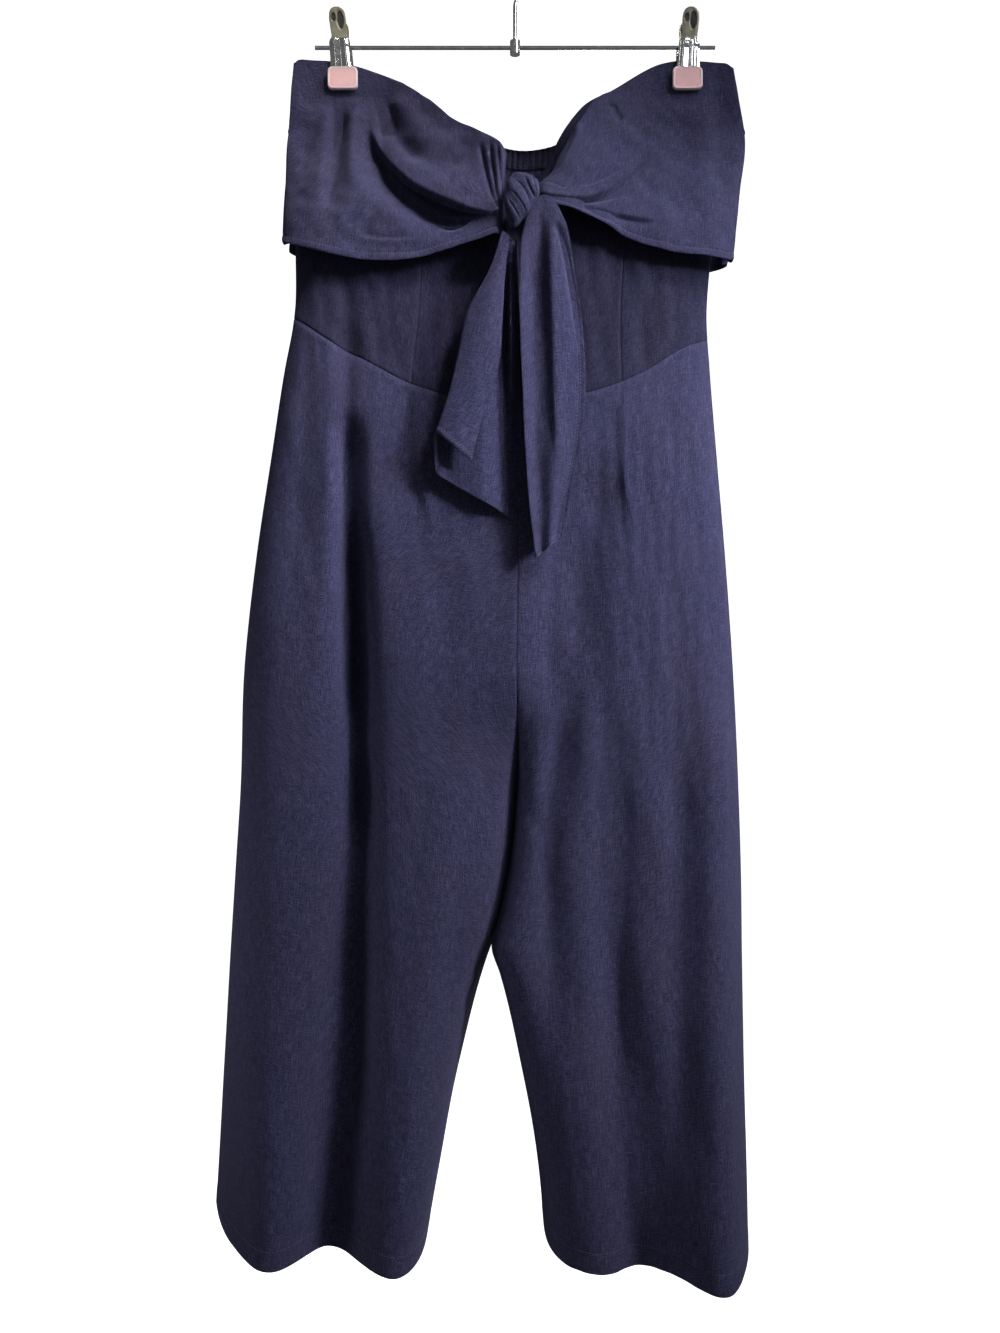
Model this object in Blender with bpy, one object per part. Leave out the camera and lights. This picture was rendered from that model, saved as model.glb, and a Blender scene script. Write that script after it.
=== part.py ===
"""Strapless tie-front jumpsuit with wide cropped legs, hung from the two clips of a wire hanger.

Metres, +Z up, front faces -Y, +X to the right of someone who looks at the front. The origin is the
seat of the hanger's hook, the point that rests on a rod. Every sewn piece is a wall of cloth worked
out from the sections of the hanging garment: a row of a table gives one height of it.
"""

import math

import bpy
import numpy as np

# ---------------------------------------------------------------- cloth
WALL = 0.0012
SEAM_GAP = 0.0003
SIDE_SEAM_GAP = 0.0009
FRONT, BACK = -1, 1
LEFT, RIGHT = -1, 1

CLOTH_COLOUR = (0.040, 0.038, 0.085, 1.0)
CHROME_COLOUR = (0.62, 0.62, 0.64, 1.0)
PAD_COLOUR = (0.70, 0.42, 0.44, 1.0)

# ---------------------------------------------------------------- heights
CROTCH_Z = -0.845
CROTCH_CURVE_Z = -0.715
HEM_Z = -1.260
CASING_HEIGHT = 0.019

# ---------------------------------------------------------------- sections of the shell
# A row for each height: the side seams, and how far the cloth reaches to the front and to the back.
BODY_COLUMNS = ("z", "left_x", "right_x", "left_y", "right_y", "front_y", "back_y", "centre_x")
BODY = (
    (-0.110, -0.2140, 0.2080, 0.000, 0.000, -0.034, 0.030, 0.002),
    (-0.200, -0.2140, 0.2000, 0.000, 0.000, -0.038, 0.031, 0.002),
    (-0.300, -0.2130, 0.1910, 0.000, 0.000, -0.041, 0.028, 0.002),
    (-0.372, -0.2150, 0.1860, 0.000, 0.000, -0.043, 0.026, 0.002),
    (-0.420, -0.2240, 0.1890, 0.002, 0.001, -0.045, 0.031, 0.003),
    (-0.500, -0.2370, 0.1955, 0.008, 0.002, -0.048, 0.042, 0.003),
    (-0.600, -0.2530, 0.2040, 0.016, 0.004, -0.051, 0.053, 0.002),
    (-0.700, -0.2650, 0.2110, 0.024, 0.005, -0.054, 0.061, 0.001),
    (-0.800, -0.2710, 0.2160, 0.032, 0.006, -0.058, 0.069, 0.003),
    (-0.900, -0.2800, 0.2195, 0.040, 0.007, -0.062, 0.076, 0.004),
    (-1.000, -0.2890, 0.2210, 0.048, 0.008, -0.066, 0.084, 0.004),
    (-1.100, -0.2970, 0.2230, 0.056, 0.009, -0.070, 0.092, 0.004),
    (-1.200, -0.3040, 0.2260, 0.062, 0.010, -0.074, 0.100, 0.004),
    (-1.270, -0.3090, 0.2275, 0.066, 0.010, -0.076, 0.104, 0.004),
)

# A row for each height of the two legs: the inseams, and each leg's own reach to front and back.
LEG_COLUMNS = ("z", "left_x", "right_x", "inner_y", "left_front_y", "right_front_y",
               "left_back_y", "right_back_y")
LEGS = (
    (-0.700, 0.0005, 0.0015, 0.006, -0.054, -0.054, 0.061, 0.061),
    (-0.845, 0.0030, 0.0050, 0.008, -0.059, -0.060, 0.072, 0.070),
    (-0.900, -0.0030, -0.0010, 0.010, -0.062, -0.063, 0.076, 0.073),
    (-0.950, -0.0136, -0.0116, 0.012, -0.064, -0.066, 0.080, 0.075),
    (-0.976, -0.0225, -0.0190, 0.013, -0.065, -0.068, 0.082, 0.076),
    (-1.000, -0.0310, -0.0115, 0.014, -0.066, -0.070, 0.084, 0.077),
    (-1.100, -0.0560, 0.0085, 0.018, -0.072, -0.077, 0.092, 0.081),
    (-1.200, -0.0755, 0.0235, 0.022, -0.083, -0.085, 0.100, 0.085),
    (-1.270, -0.0880, 0.0300, 0.025, -0.092, -0.090, 0.104, 0.088),
)
# How square the sections are: the body's, a leg's at the hips, and a leg's outer and inner side at
# the hem.
BODY_SQUARENESS = 2.6
HIP_SQUARENESS = 2.7
HEM_SQUARENESS = {LEFT: (2.4, 4.2), RIGHT: (3.8, 3.0)}

# The slope of the narrow space between the two legs, so that nothing is seen through it.
# It fades over the slant's height, and out to the share of the leg's width where it starts.
LEG_SLANT = 0.17
SLANT_END_Z = -1.190
SLANT_HEIGHT = 0.22
SLANT_START = 0.45
# How much the outer side of each leg leans in towards the front at the hem, and the share of the
# leg's width that leans.
OUTER_SLANT = {LEFT: 0.30, RIGHT: 0.12}
OUTER_SLANT_Z = -0.62
OUTER_SLANT_SHARE = 0.62
OUTER_SLANT_FADE = 0.50

# Folds that grow towards the hem. depth is how far the cloth is pushed in at the hem; a ridge is < 0.
FOLD_COLUMNS = ("leg", "side", "top_z", "top_x", "middle_x", "hem_x", "left_width", "right_width",
                "depth")
FOLDS = (
    (LEFT, FRONT, -0.470, -0.158, -0.149, -0.178, 0.034, 0.040, 0.066),
    (LEFT, FRONT, -0.760, -0.060, -0.080, -0.099, 0.026, 0.022, -0.024),
    (LEFT, FRONT, -0.560, -0.215, -0.222, -0.232, 0.026, 0.030, -0.012),
    (RIGHT, FRONT, -0.560, 0.088, 0.070, 0.116, 0.026, 0.034, 0.026),
    (RIGHT, FRONT, -0.600, 0.192, 0.190, 0.190, 0.034, 0.026, -0.042),
    (LEFT, BACK, -0.560, -0.190, -0.205, -0.240, 0.026, 0.030, 0.026),
    (LEFT, BACK, -0.640, -0.075, -0.100, -0.145, 0.030, 0.026, 0.034),
    (RIGHT, BACK, -0.600, 0.060, 0.062, 0.085, 0.026, 0.030, 0.032),
    (RIGHT, BACK, -0.520, 0.150, 0.160, 0.172, 0.024, 0.026, 0.024),
)

# A fold's width at its top, as a share of its width at the hem, and the part of its depth that grows
# at once. The seams hold the cloth: the powers say how near to them the folds die out.
FOLD_TOP_WIDTH = 0.45
FOLD_EARLY_DEPTH = 0.55
FOLD_EARLY_GROWTH = 3.0
SIDE_HOLD_POWER = 10
CENTRE_HOLD_POWER = 6

# ---------------------------------------------------------------- edges across the front and back
# across is -1 at the left side seam and 1 at the right one.
EDGE_COLUMNS = ("across", "neck_z", "waist_z", "back_neck_z", "back_waist_z")
EDGES = (
    (-1.00, -0.1135, -0.370, -0.1135, -0.370),
    (-0.80, -0.1160, -0.396, -0.1170, -0.374),
    (-0.58, -0.1310, -0.420, -0.1300, -0.378),
    (-0.39, -0.1590, -0.440, -0.1490, -0.381),
    (-0.26, -0.1880, -0.449, -0.1660, -0.383),
    (-0.16, -0.2040, -0.455, -0.1770, -0.384),
    (-0.03, -0.2280, -0.459, -0.1850, -0.385),
    (0.05, -0.2620, -0.461, -0.1880, -0.385),
    (0.14, -0.2480, -0.459, -0.1880, -0.386),
    (0.23, -0.2050, -0.456, -0.1850, -0.387),
    (0.33, -0.1700, -0.452, -0.1770, -0.388),
    (0.47, -0.1470, -0.445, -0.1560, -0.388),
    (0.69, -0.1170, -0.426, -0.1270, -0.390),
    (0.85, -0.1150, -0.405, -0.1170, -0.391),
    (1.00, -0.1180, -0.392, -0.1180, -0.392),
)
PRINCESS_SEAMS = (-0.386, 0.565)
SEAM_ACROSS = 0.0009
# The height whose section places the columns across the waist seam.
WAIST_COLUMNS_Z = -0.42

# ---------------------------------------------------------------- where the clips pinch the layers
CLIP_X = (-0.168, 0.168)
PINCH_SPREAD = 0.136
PINCH_Z = -0.174
PINCH_FADE = 0.110
# The band is pressed against the bodice at the clips, and comes free over the two fades.
HELD_Z = -0.1600
HELD_Z_FADE = 0.012
HELD_HALF = 0.032
HELD_FADE = 0.020
LAYER_Y = 0.00095
BAND_LAYER = 0.00165
NECK_BOW = {FRONT: 0.036, BACK: 0.030}

# ---------------------------------------------------------------- band
BAND_COLUMNS = ("z", "left_x", "right_x")
BAND = (
    (-0.110, -0.2150, 0.2110),
    (-0.150, -0.2180, 0.2170),
    (-0.190, -0.2205, 0.2235),
    (-0.250, -0.2225, 0.2165),
    (-0.330, -0.2245, 0.2080),
)
BAND_EDGE_COLUMNS = ("across", "hem_z", "back_hem_z")
BAND_EDGES = (
    (-1.00, -0.303, -0.308),
    (-0.77, -0.319, -0.316),
    (-0.55, -0.327, -0.320),
    (-0.35, -0.324, -0.322),
    (-0.18, -0.314, -0.323),
    (-0.02, -0.303, -0.324),
    (0.14, -0.276, -0.324),
    (0.37, -0.289, -0.324),
    (0.52, -0.307, -0.324),
    (0.69, -0.317, -0.325),
    (1.00, -0.320, -0.326),
)
BAND_KNOT_ENDS = (-0.033, 0.158)
BAND_STANDOFF = 0.0080
BAND_STANDOFF_POWER = 1.5
BAND_CLOSEST = 0.0005
BAND_STEP_OUT = {FRONT: 0.0045, BACK: 0.0042}
KNOT_PULL = 0.0170
KNOT_PULL_WIDTH = 0.060
PLEATS = 3
PLEAT_DEPTH = 0.0022
PLEAT_REACH = 0.050

# Creases of the band's front, each a smooth line through three places; depth > 0 pushes the cloth in.
CREASE_COLUMNS = ("x0", "z0", "x1", "z1", "x2", "z2", "width", "depth")
BAND_CREASES = (
    (-0.140, -0.176, -0.106, -0.230, -0.026, -0.276, 0.011, 0.0065),
    (-0.128, -0.150, -0.080, -0.195, -0.030, -0.240, 0.020, -0.0080),
    (-0.118, -0.140, -0.160, -0.240, -0.175, -0.305, 0.020, 0.0030),
    (0.122, -0.200, 0.100, -0.250, 0.030, -0.266, 0.011, 0.0060),
    (0.135, -0.150, 0.080, -0.200, 0.035, -0.232, 0.020, -0.0080),
    (0.176, -0.140, 0.172, -0.200, 0.166, -0.300, 0.018, 0.0030),
)

# ---------------------------------------------------------------- gathers of the elastic back
GATHERS = 38
GATHER_DEPTH = 0.0011
GATHER_START = 0.010
GATHER_FADE = 0.020
GATHER_LOSS = 0.4

# ---------------------------------------------------------------- knot and tie ends
KNOT_CENTRE = (0.0055, -0.0655, -0.2785)
KNOT_HALF = (0.0124, 0.0128, 0.0300)
KNOT_LEAN = math.radians(20)
KNOT_ROUNDNESS = 0.85
KNOT_WRAPS = 3
KNOT_WRAP_DEPTH = 0.0011
KNOT_WRAP_SLOPE = (0.22, 0.5)

RIGHT_END_COLUMNS = ("down", "left_x", "left_z", "right_x", "right_z", "y")
RIGHT_END = (
    (0.00, 0.0100, -0.3020, 0.0410, -0.2900, -0.0655),
    (0.08, 0.0050, -0.3200, 0.0455, -0.3020, -0.0700),
    (0.18, 0.0035, -0.3480, 0.0500, -0.3190, -0.0725),
    (0.35, 0.0040, -0.3960, 0.0595, -0.3760, -0.0715),
    (0.55, 0.0065, -0.4540, 0.0640, -0.4350, -0.0705),
    (0.75, 0.0095, -0.5120, 0.0610, -0.4920, -0.0700),
    (0.90, 0.0130, -0.5610, 0.0470, -0.5350, -0.0700),
    (1.00, 0.0190, -0.6060, 0.0370, -0.5700, -0.0700),
)
LEFT_END_COLUMNS = ("down", "edge_x", "edge_z", "fold_x", "fold_z", "turn_z", "behind_x", "behind_z")
LEFT_END = (
    (0.00, -0.0060, -0.3110, -0.0120, -0.3060, -0.3065, 0.0010, -0.3115),
    (0.15, -0.0080, -0.3400, -0.0230, -0.3400, -0.3400, 0.0020, -0.3500),
    (0.35, -0.0100, -0.3750, -0.0430, -0.3800, -0.3810, 0.0030, -0.4000),
    (0.55, -0.0150, -0.4230, -0.0520, -0.4200, -0.4240, 0.0050, -0.4500),
    (0.75, -0.0260, -0.4600, -0.0610, -0.4560, -0.4700, 0.0080, -0.5050),
    (0.90, -0.0350, -0.4920, -0.0680, -0.4760, -0.5030, 0.0100, -0.5470),
    (1.00, -0.0410, -0.5180, -0.0730, -0.4910, -0.5290, 0.0120, -0.5780),
)
# The right end: an arched top, and waves across it that drift as they go down.
RIGHT_END_ARCH = 0.0130
RIGHT_END_ARCH_FADE = 0.3
END_WAVE = 0.0030
END_WAVES = 1.5
END_WAVE_DRIFT = 1.2
END_TILT = 0.004
# The left end: its two layers, the fold between them and the soft belly of the front one.
LEFT_END_FRONT_Y = -0.0690
LEFT_END_BEHIND_Y = -0.0615
LEFT_END_TOP_BACK = 0.0010
LEFT_END_BELLY = 0.004
LEFT_END_TURN = 0.0012
LEFT_END_WAVE = 0.0018
LEFT_END_WAVES = 1.25

# ---------------------------------------------------------------- hanger
WIRE_RADIUS = 0.0020
HOOK_RADIUS = 0.0200
HOOK_SWEEP = math.radians(200)
NECK_TOP = -0.060
BAR_Z = -0.1004
BAR_HALF = 0.1960
BOSS_RADIUS = 0.0050
BOSS_HALF = 0.0065
CLEARANCE = 0.0003

CLIP_METAL = 0.0010
CLIP_CROWN = 0.0010
CLIP_COLUMNS = ("z", "y", "half_width")
CLIP_PROFILE = (
    (-0.1223, 0.0064, 0.0110),
    (-0.1134, 0.0066, 0.0104),
    (-0.1044, 0.0072, 0.0102),
    (-0.0979, 0.0078, 0.0096),
    (-0.0954, 0.0082, 0.0080),
    (-0.0864, 0.0098, 0.0078),
    (-0.0764, 0.0116, 0.0078),
    (-0.0724, 0.0123, 0.0062),
    (-0.0702, 0.0127, 0.0034),
)
CLIP_LEAN = (-0.080, 0.045)
PAD_SIZE = (0.0290, 0.0050, 0.0215)
PAD_INNER_Y = 0.0037
PAD_CENTRE_Z = -0.1334
PAD_ROUNDING = 0.0018
SPRING_RADIUS = 0.0046
SPRING_HALF = 0.0075

# ---------------------------------------------------------------- how fine the faces are
TROUSER_COLUMNS = 16
TROUSER_ROWS = 20
BODICE_ROWS = 9
BAND_COLUMN_COUNT = 18
BAND_BACK_COLUMNS = 32
BAND_ROWS = 10
BAND_BACK_ROWS = 7
GATHER_STEPS = 4
KNOT_RINGS = 14
KNOT_SEGMENTS = 24
RIGHT_END_GRID = (16, 10)
LEFT_END_ROWS = 12
LEFT_END_FRONT_COLUMNS = 6
LEFT_END_BEHIND_COLUMNS = 9
CLIP_ACROSS = 6
NECK_STEPS = 6
HOOK_STEPS = 16
ROUND_SIDES = 24


# ---------------------------------------------------------------- arithmetic
def smooth(value):
    """0 below 0, 1 above 1 and an even S between them."""
    value = np.clip(value, 0.0, 1.0)
    return value * value * (3.0 - 2.0 * value)


def blend(first, second, share):
    return first + (second - first) * share


def read(table, columns, name, place):
    """A column of a table at any place, on a smooth curve through the rows."""
    rows = np.array(table)
    rows = rows[np.argsort(rows[:, 0])]
    places = rows[:, 0]
    values = rows[:, columns.index(name)]
    slopes = np.gradient(values, places)
    place = np.clip(np.asarray(place, dtype=float), places[0], places[-1])
    low = np.clip(np.searchsorted(places, place) - 1, 0, len(places) - 2)
    step = places[low + 1] - places[low]
    t = (place - places[low]) / step
    start = (1 + 2 * t) * (1 - t) ** 2 * values[low] + t * (1 - t) ** 2 * step * slopes[low]
    end = t * t * (3 - 2 * t) * values[low + 1] + t * t * (t - 1) * step * slopes[low + 1]
    return start + end


def body(name, z):
    return read(BODY, BODY_COLUMNS, name, z)


def legs(name, z):
    return read(LEGS, LEG_COLUMNS, name, z)


def edge(name, across):
    return read(EDGES, EDGE_COLUMNS, name, across)


def band_edge(name, across):
    return read(BAND_EDGES, BAND_EDGE_COLUMNS, name, across)


def bulge(across, squareness):
    """1 in the middle of a flattened round section and 0 at its two sides."""
    inside = np.clip(1.0 - np.abs(across) ** squareness, 0.0, 1.0)
    return inside ** (1.0 / squareness)


def crease_push(creases, x, z):
    """How far the creases push a point of the cloth in."""
    push = np.zeros_like(x)
    steps = np.linspace(0.0, 1.0, 25)
    for row in creases:
        crease = dict(zip(CREASE_COLUMNS, row))
        line_x = bezier(crease["x0"], crease["x1"], crease["x2"], steps)
        line_z = bezier(crease["z0"], crease["z1"], crease["z2"], steps)
        gap = np.hypot(x[..., None] - line_x, z[..., None] - line_z)
        nearest = np.argmin(gap, axis=-1)
        along = steps[nearest]
        fade = smooth(along / 0.3) * smooth((1.0 - along) / 0.15 + 0.4)
        push += crease["depth"] * fade * np.exp(-(np.min(gap, axis=-1) / crease["width"]) ** 2)
    return push


def bezier(first, middle, last, t):
    return first * (1 - t) ** 2 + 2 * middle * t * (1 - t) + last * t * t


# ---------------------------------------------------------------- the hanging shell
def cloth_columns(s):
    """Columns of a trouser half at the waist seam, closer together near the side seam."""
    return 0.4 * s + 0.6 * s * s


def leg_round(s):
    """The way round a leg's section from -1 to 1, closer together near its two seams."""
    return 0.35 * (2.0 * s - 1.0) - 0.65 * np.cos(math.pi * s)


def clip_gap(x):
    """How far a place is from the middle of the nearer clip."""
    return np.minimum(np.abs(x - CLIP_X[0]), np.abs(x - CLIP_X[1]))


def pinched_y(side, x):
    """The section at the clips' height: two layers pressed together, bowed out between the clips."""
    bow = 0.5 + 0.5 * np.cos(math.pi * np.clip(x / PINCH_SPREAD, -1.0, 1.0))
    return side * (LAYER_Y + NECK_BOW[side] * bow)


def body_point(side, across, z):
    """x and y on the bodice or the hips; across is -1 at the left side seam and 1 at the right."""
    share = (across + 1.0) / 2.0
    x = blend(body("left_x", z), body("right_x", z), share)
    seam_y = blend(body("left_y", z), body("right_y", z), share)
    reach = body("front_y" if side == FRONT else "back_y", z)
    y = seam_y + (reach - seam_y) * bulge(across, BODY_SQUARENESS)
    open_share = smooth((PINCH_Z - z) / PINCH_FADE)
    return x, blend(pinched_y(side, x), y, open_share)


def fold_push(leg, side, x, z):
    """How far the long folds of one side of one leg push it in."""
    push = np.zeros_like(x)
    for row in FOLDS:
        fold = dict(zip(FOLD_COLUMNS, row))
        if (fold["leg"], fold["side"]) != (leg, side):
            continue
        down = np.clip((fold["top_z"] - z) / (fold["top_z"] - HEM_Z), 0.0, 1.0)
        centre = bezier(fold["top_x"], fold["middle_x"], fold["hem_x"], down)
        width = np.where(x < centre, fold["left_width"], fold["right_width"])
        width = width * blend(FOLD_TOP_WIDTH, 1.0, down)
        early = smooth(down * FOLD_EARLY_GROWTH) * down
        growth = blend(down ** 2, early, FOLD_EARLY_DEPTH)
        push += fold["depth"] * growth * np.exp(-((x - centre) / width) ** 2)
    return push


def trouser_point(leg, side, s, z):
    """x and y on a trouser half; s is 0 at the side seam and 1 at the centre seam or inseam."""
    middle = (body("left_x", z) + body("right_x", z)) / 2.0
    half = (body("right_x", z) - body("left_x", z)) / 2.0
    centre_across = (body("centre_x", z) + leg * SEAM_GAP / 2.0 - middle) / half
    across = leg + (centre_across - leg) * cloth_columns(s)
    hip_x, hip_y = body_point(side, across, z)

    leg_name = "left" if leg == LEFT else "right"
    outer_x = body(leg_name + "_x", z)
    outer_y = body(leg_name + "_y", z)
    inner_x = legs(leg_name + "_x", z)
    inner_y = legs("inner_y", z)
    reach = legs(leg_name + ("_front_y" if side == FRONT else "_back_y"), z)
    round_trip = leg_round(s)
    share = (round_trip + 1.0) / 2.0
    seam_y = blend(outer_y, inner_y, share)
    leg_x = blend(outer_x, inner_x, share)
    hem_outer, hem_inner = HEM_SQUARENESS[leg]
    below = np.clip((CROTCH_Z - z) / (CROTCH_Z - HEM_Z), 0.0, 1.0)
    squareness = blend(HIP_SQUARENESS, np.where(share < 0.5, hem_outer, hem_inner), below)
    leg_y = seam_y + (reach - seam_y) * bulge(round_trip, squareness)
    slant = LEG_SLANT * smooth((z - SLANT_END_Z) / SLANT_HEIGHT)
    leg_x = leg_x + slant * (leg_y - inner_y) * smooth((share - SLANT_START) / SLANT_START)
    lean = OUTER_SLANT[leg] * np.clip((OUTER_SLANT_Z - z) / (OUTER_SLANT_Z - HEM_Z), 0.0, 1.0)
    leaning = smooth((OUTER_SLANT_SHARE - share) / OUTER_SLANT_FADE)
    leg_x = leg_x + leg * lean * np.minimum(leg_y - outer_y, 0.0) * leaning

    legness = smooth((CROTCH_CURVE_Z - z) / (CROTCH_CURVE_Z - CROTCH_Z))
    x = blend(hip_x, leg_x, legness)
    y = blend(hip_y, leg_y, legness)
    hold = (1.0 - s ** CENTRE_HOLD_POWER) * (1.0 - (1.0 - s) ** SIDE_HOLD_POWER)
    y = y - side * fold_push(leg, side, x, z) * hold
    return x, y + side * SIDE_SEAM_GAP / 2.0 * ((s <= 0.0) + (s >= 1.0) * legness)


def band_point(side, across, z, down):
    """x and y on the band, which lies outside the bodice and stands off towards its hem."""
    share = (across + 1.0) / 2.0
    x = blend(read(BAND, BAND_COLUMNS, "left_x", z), read(BAND, BAND_COLUMNS, "right_x", z), share)
    y = body_point(side, across, z)[1]
    below_clips = smooth((HELD_Z - z) / HELD_Z_FADE)
    beside_clips = smooth((clip_gap(x) - HELD_HALF) / HELD_FADE)
    held = (1.0 - beside_clips) * (1.0 - below_clips)
    standoff = BAND_STEP_OUT[side] + BAND_STANDOFF * down ** BAND_STANDOFF_POWER
    if side == FRONT:
        standoff = standoff + KNOT_PULL * np.exp(-((x - KNOT_CENTRE[0]) / KNOT_PULL_WIDTH) ** 2)
        standoff = standoff - crease_push(BAND_CREASES, x, z)
    return x, y + side * (BAND_LAYER + np.maximum(standoff, BAND_CLOSEST) * (1.0 - held))


# ---------------------------------------------------------------- meshes
def material(name, colour, roughness, metallic):
    made = bpy.data.materials.new(name)
    made.use_nodes = True
    shader = made.node_tree.nodes["Principled BSDF"]
    shader.inputs["Base Color"].default_value = colour
    shader.inputs["Roughness"].default_value = roughness
    shader.inputs["Metallic"].default_value = metallic
    return made


def add_object(name, vertices, faces, colour, roughness=0.85, metallic=0.0):
    mesh = bpy.data.meshes.new(name)
    mesh.from_pydata([tuple(map(float, vertex)) for vertex in vertices], [], faces)
    mesh.shade_smooth()
    mesh.set_sharp_from_angle(angle=math.radians(50))
    mesh.materials.append(material(name, colour, roughness, metallic))
    made = bpy.data.objects.new(name, mesh)
    bpy.context.scene.collection.objects.link(made)
    return made


def grid_normals(points):
    """The unit normal of a grid of points at each of them."""
    along = np.gradient(points, axis=1)
    down = np.gradient(points, axis=0)
    normals = np.cross(along, down)
    return normals / np.linalg.norm(normals, axis=2, keepdims=True)


def sheet(name, points, wall=WALL, colour=CLOTH_COLOUR, roughness=0.85, metallic=0.0):
    """A closed wall on both sides of a grid of middle points, with one diagonal on both faces."""
    rows, columns = points.shape[:2]
    normals = grid_normals(points)
    first = (points + normals * wall / 2.0).reshape(-1, 3)
    second = (points - normals * wall / 2.0).reshape(-1, 3)
    count = rows * columns
    faces = []
    for row in range(rows - 1):
        for column in range(columns - 1):
            a = row * columns + column
            b, c, d = a + 1, a + columns + 1, a + columns
            faces += [(a, b, c), (a, c, d)]
            faces += [(a + count, c + count, b + count), (a + count, d + count, c + count)]
    rim = [column for column in range(columns)]
    rim += [row * columns + columns - 1 for row in range(1, rows)]
    rim += [(rows - 1) * columns + column for column in range(columns - 2, -1, -1)]
    rim += [row * columns for row in range(rows - 2, 0, -1)]
    for here, there in zip(rim, rim[1:] + rim[:1]):
        faces += [(there, here, here + count), (there, here + count, there + count)]
    made = add_object(name, np.vstack([first, second]), faces, colour, roughness, metallic)
    turn_out(made)
    return made


def turn_out(made):
    """Turn every face out of the solid, by the sign of its volume."""
    mesh = made.data
    volume = 0.0
    for polygon in mesh.polygons:
        a, b, c = (mesh.vertices[index].co for index in polygon.vertices[:3])
        volume += a.dot(b.cross(c))
    if volume < 0.0:
        mesh.flip_normals()


def stack(x, y, z):
    return np.stack(np.broadcast_arrays(x, y, z), axis=-1)


# ---------------------------------------------------------------- bodice and trousers
def half_across(leg):
    """The places across of one half's columns at its waist seam, from the side to the centre."""
    z = WAIST_COLUMNS_Z
    middle = (body("left_x", z) + body("right_x", z)) / 2.0
    half = (body("right_x", z) - body("left_x", z)) / 2.0
    centre = (body("centre_x", z) - middle) / half
    return leg + (centre - leg) * cloth_columns(np.linspace(0.0, 1.0, TROUSER_COLUMNS + 1))


def whole_across():
    """The same columns from the left side seam to the right one."""
    return np.concatenate([half_across(LEFT), half_across(RIGHT)[-2::-1]])


def make_trousers():
    for leg, leg_name in ((LEFT, "left"), (RIGHT, "right")):
        for side, side_name in ((FRONT, "front"), (BACK, "back")):
            s = np.linspace(0.0, 1.0, TROUSER_COLUMNS + 1)[None, :]
            down = np.linspace(0.0, 1.0, TROUSER_ROWS + 1)[:, None]
            waist_name = "waist_z" if side == FRONT else "back_waist_z"
            waist = edge(waist_name, half_across(leg)[None, :]) - SEAM_GAP / 2.0
            z = blend(waist, HEM_Z, down)
            x, y = trouser_point(leg, side, s, z)
            sheet(f"trouser_{side_name}_{leg_name}", stack(x, y, z))


def make_bodice_front():
    across = whole_across()
    cuts = [int(np.argmin(np.abs(across - seam))) for seam in PRINCESS_SEAMS]
    spans = (("side_left", 0, cuts[0]), ("centre", *cuts), ("side_right", cuts[1], len(across) - 1))
    for name, first, last in spans:
        piece = across[first:last + 1].copy()
        piece[0] += SEAM_ACROSS * (first > 0)
        piece[-1] -= SEAM_ACROSS * (last < len(across) - 1)
        down = np.linspace(0.0, 1.0, BODICE_ROWS + 1)[:, None]
        z = blend(edge("neck_z", piece), edge("waist_z", piece) + SEAM_GAP / 2.0, down)
        x, y = body_point(FRONT, piece[None, :], z)
        y = y - SIDE_SEAM_GAP / 2.0 * (np.abs(piece) >= 1.0)
        sheet(f"bodice_front_{name}", stack(x, y, z))


def gather_wave(across, x):
    """The gathers of the elastic back between the clips, pressed flat near them."""
    free = smooth((clip_gap(x) - HELD_HALF - GATHER_START) / GATHER_FADE) * (np.abs(x) < CLIP_X[1])
    return GATHER_DEPTH * (1.0 + np.sin(math.pi * GATHERS * across)) * free


def make_bodice_back():
    seam = whole_across()

    def casing_low(place):
        """The casing's seam, straight between the columns of the panel below it."""
        return np.interp(place, seam, edge("back_neck_z", seam) - CASING_HEIGHT)

    down = np.linspace(0.0, 1.0, BODICE_ROWS + 1)[:, None]
    z = blend(casing_low(seam) - SEAM_GAP, edge("back_waist_z", seam) + SEAM_GAP / 2.0, down)
    x, y = body_point(BACK, seam[None, :], z)
    y = y + SIDE_SEAM_GAP / 2.0 * (np.abs(seam) >= 1.0)
    sheet("bodice_back", stack(x, y, z))

    across = np.linspace(-1.0, 1.0, GATHER_STEPS * GATHERS + 1)[None, :]
    down = np.array([0.0, 1.0])[:, None]
    z = blend(edge("back_neck_z", across), casing_low(across), down)
    x, y = body_point(BACK, across, z)
    y = y + gather_wave(across, x) * (1.0 - GATHER_LOSS * down)
    sheet("bodice_back_casing", stack(x, y, z))


# ---------------------------------------------------------------- band, knot and tie ends
def make_band_front():
    spans = (("left", -1.0, BAND_KNOT_ENDS[0]), ("right", 1.0, BAND_KNOT_ENDS[1]))
    for name, first, last in spans:
        share = np.linspace(0.0, 1.0, BAND_COLUMN_COUNT + 1)[None, :]
        closer_at_ends = 0.30 * share - 0.35 * (np.cos(math.pi * share) - 1.0)
        across = blend(first, last, closer_at_ends)
        down = np.linspace(0.0, 1.0, BAND_ROWS + 1)[:, None]
        z = blend(edge("neck_z", across), band_edge("hem_z", across), down)
        x, y = band_point(FRONT, across, z, down)
        near = np.exp(-((x - KNOT_CENTRE[0]) / PLEAT_REACH) ** 2)
        y = y + PLEAT_DEPTH * near * np.cos(2.0 * math.pi * PLEATS * down)
        sheet(f"band_front_{name}", stack(x, y, z))


def make_band_back():
    even = np.linspace(-1.0, 1.0, BAND_BACK_COLUMNS + 1)[None, :]
    across = 0.45 * even + 0.55 * np.sin(even * math.pi / 2.0)
    down = np.linspace(0.0, 1.0, BAND_BACK_ROWS + 1)[:, None]
    z = blend(edge("back_neck_z", across), band_edge("back_hem_z", across), down)
    x, y = band_point(BACK, across, z, down)
    sheet("band_back", stack(x, y, z))


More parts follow.
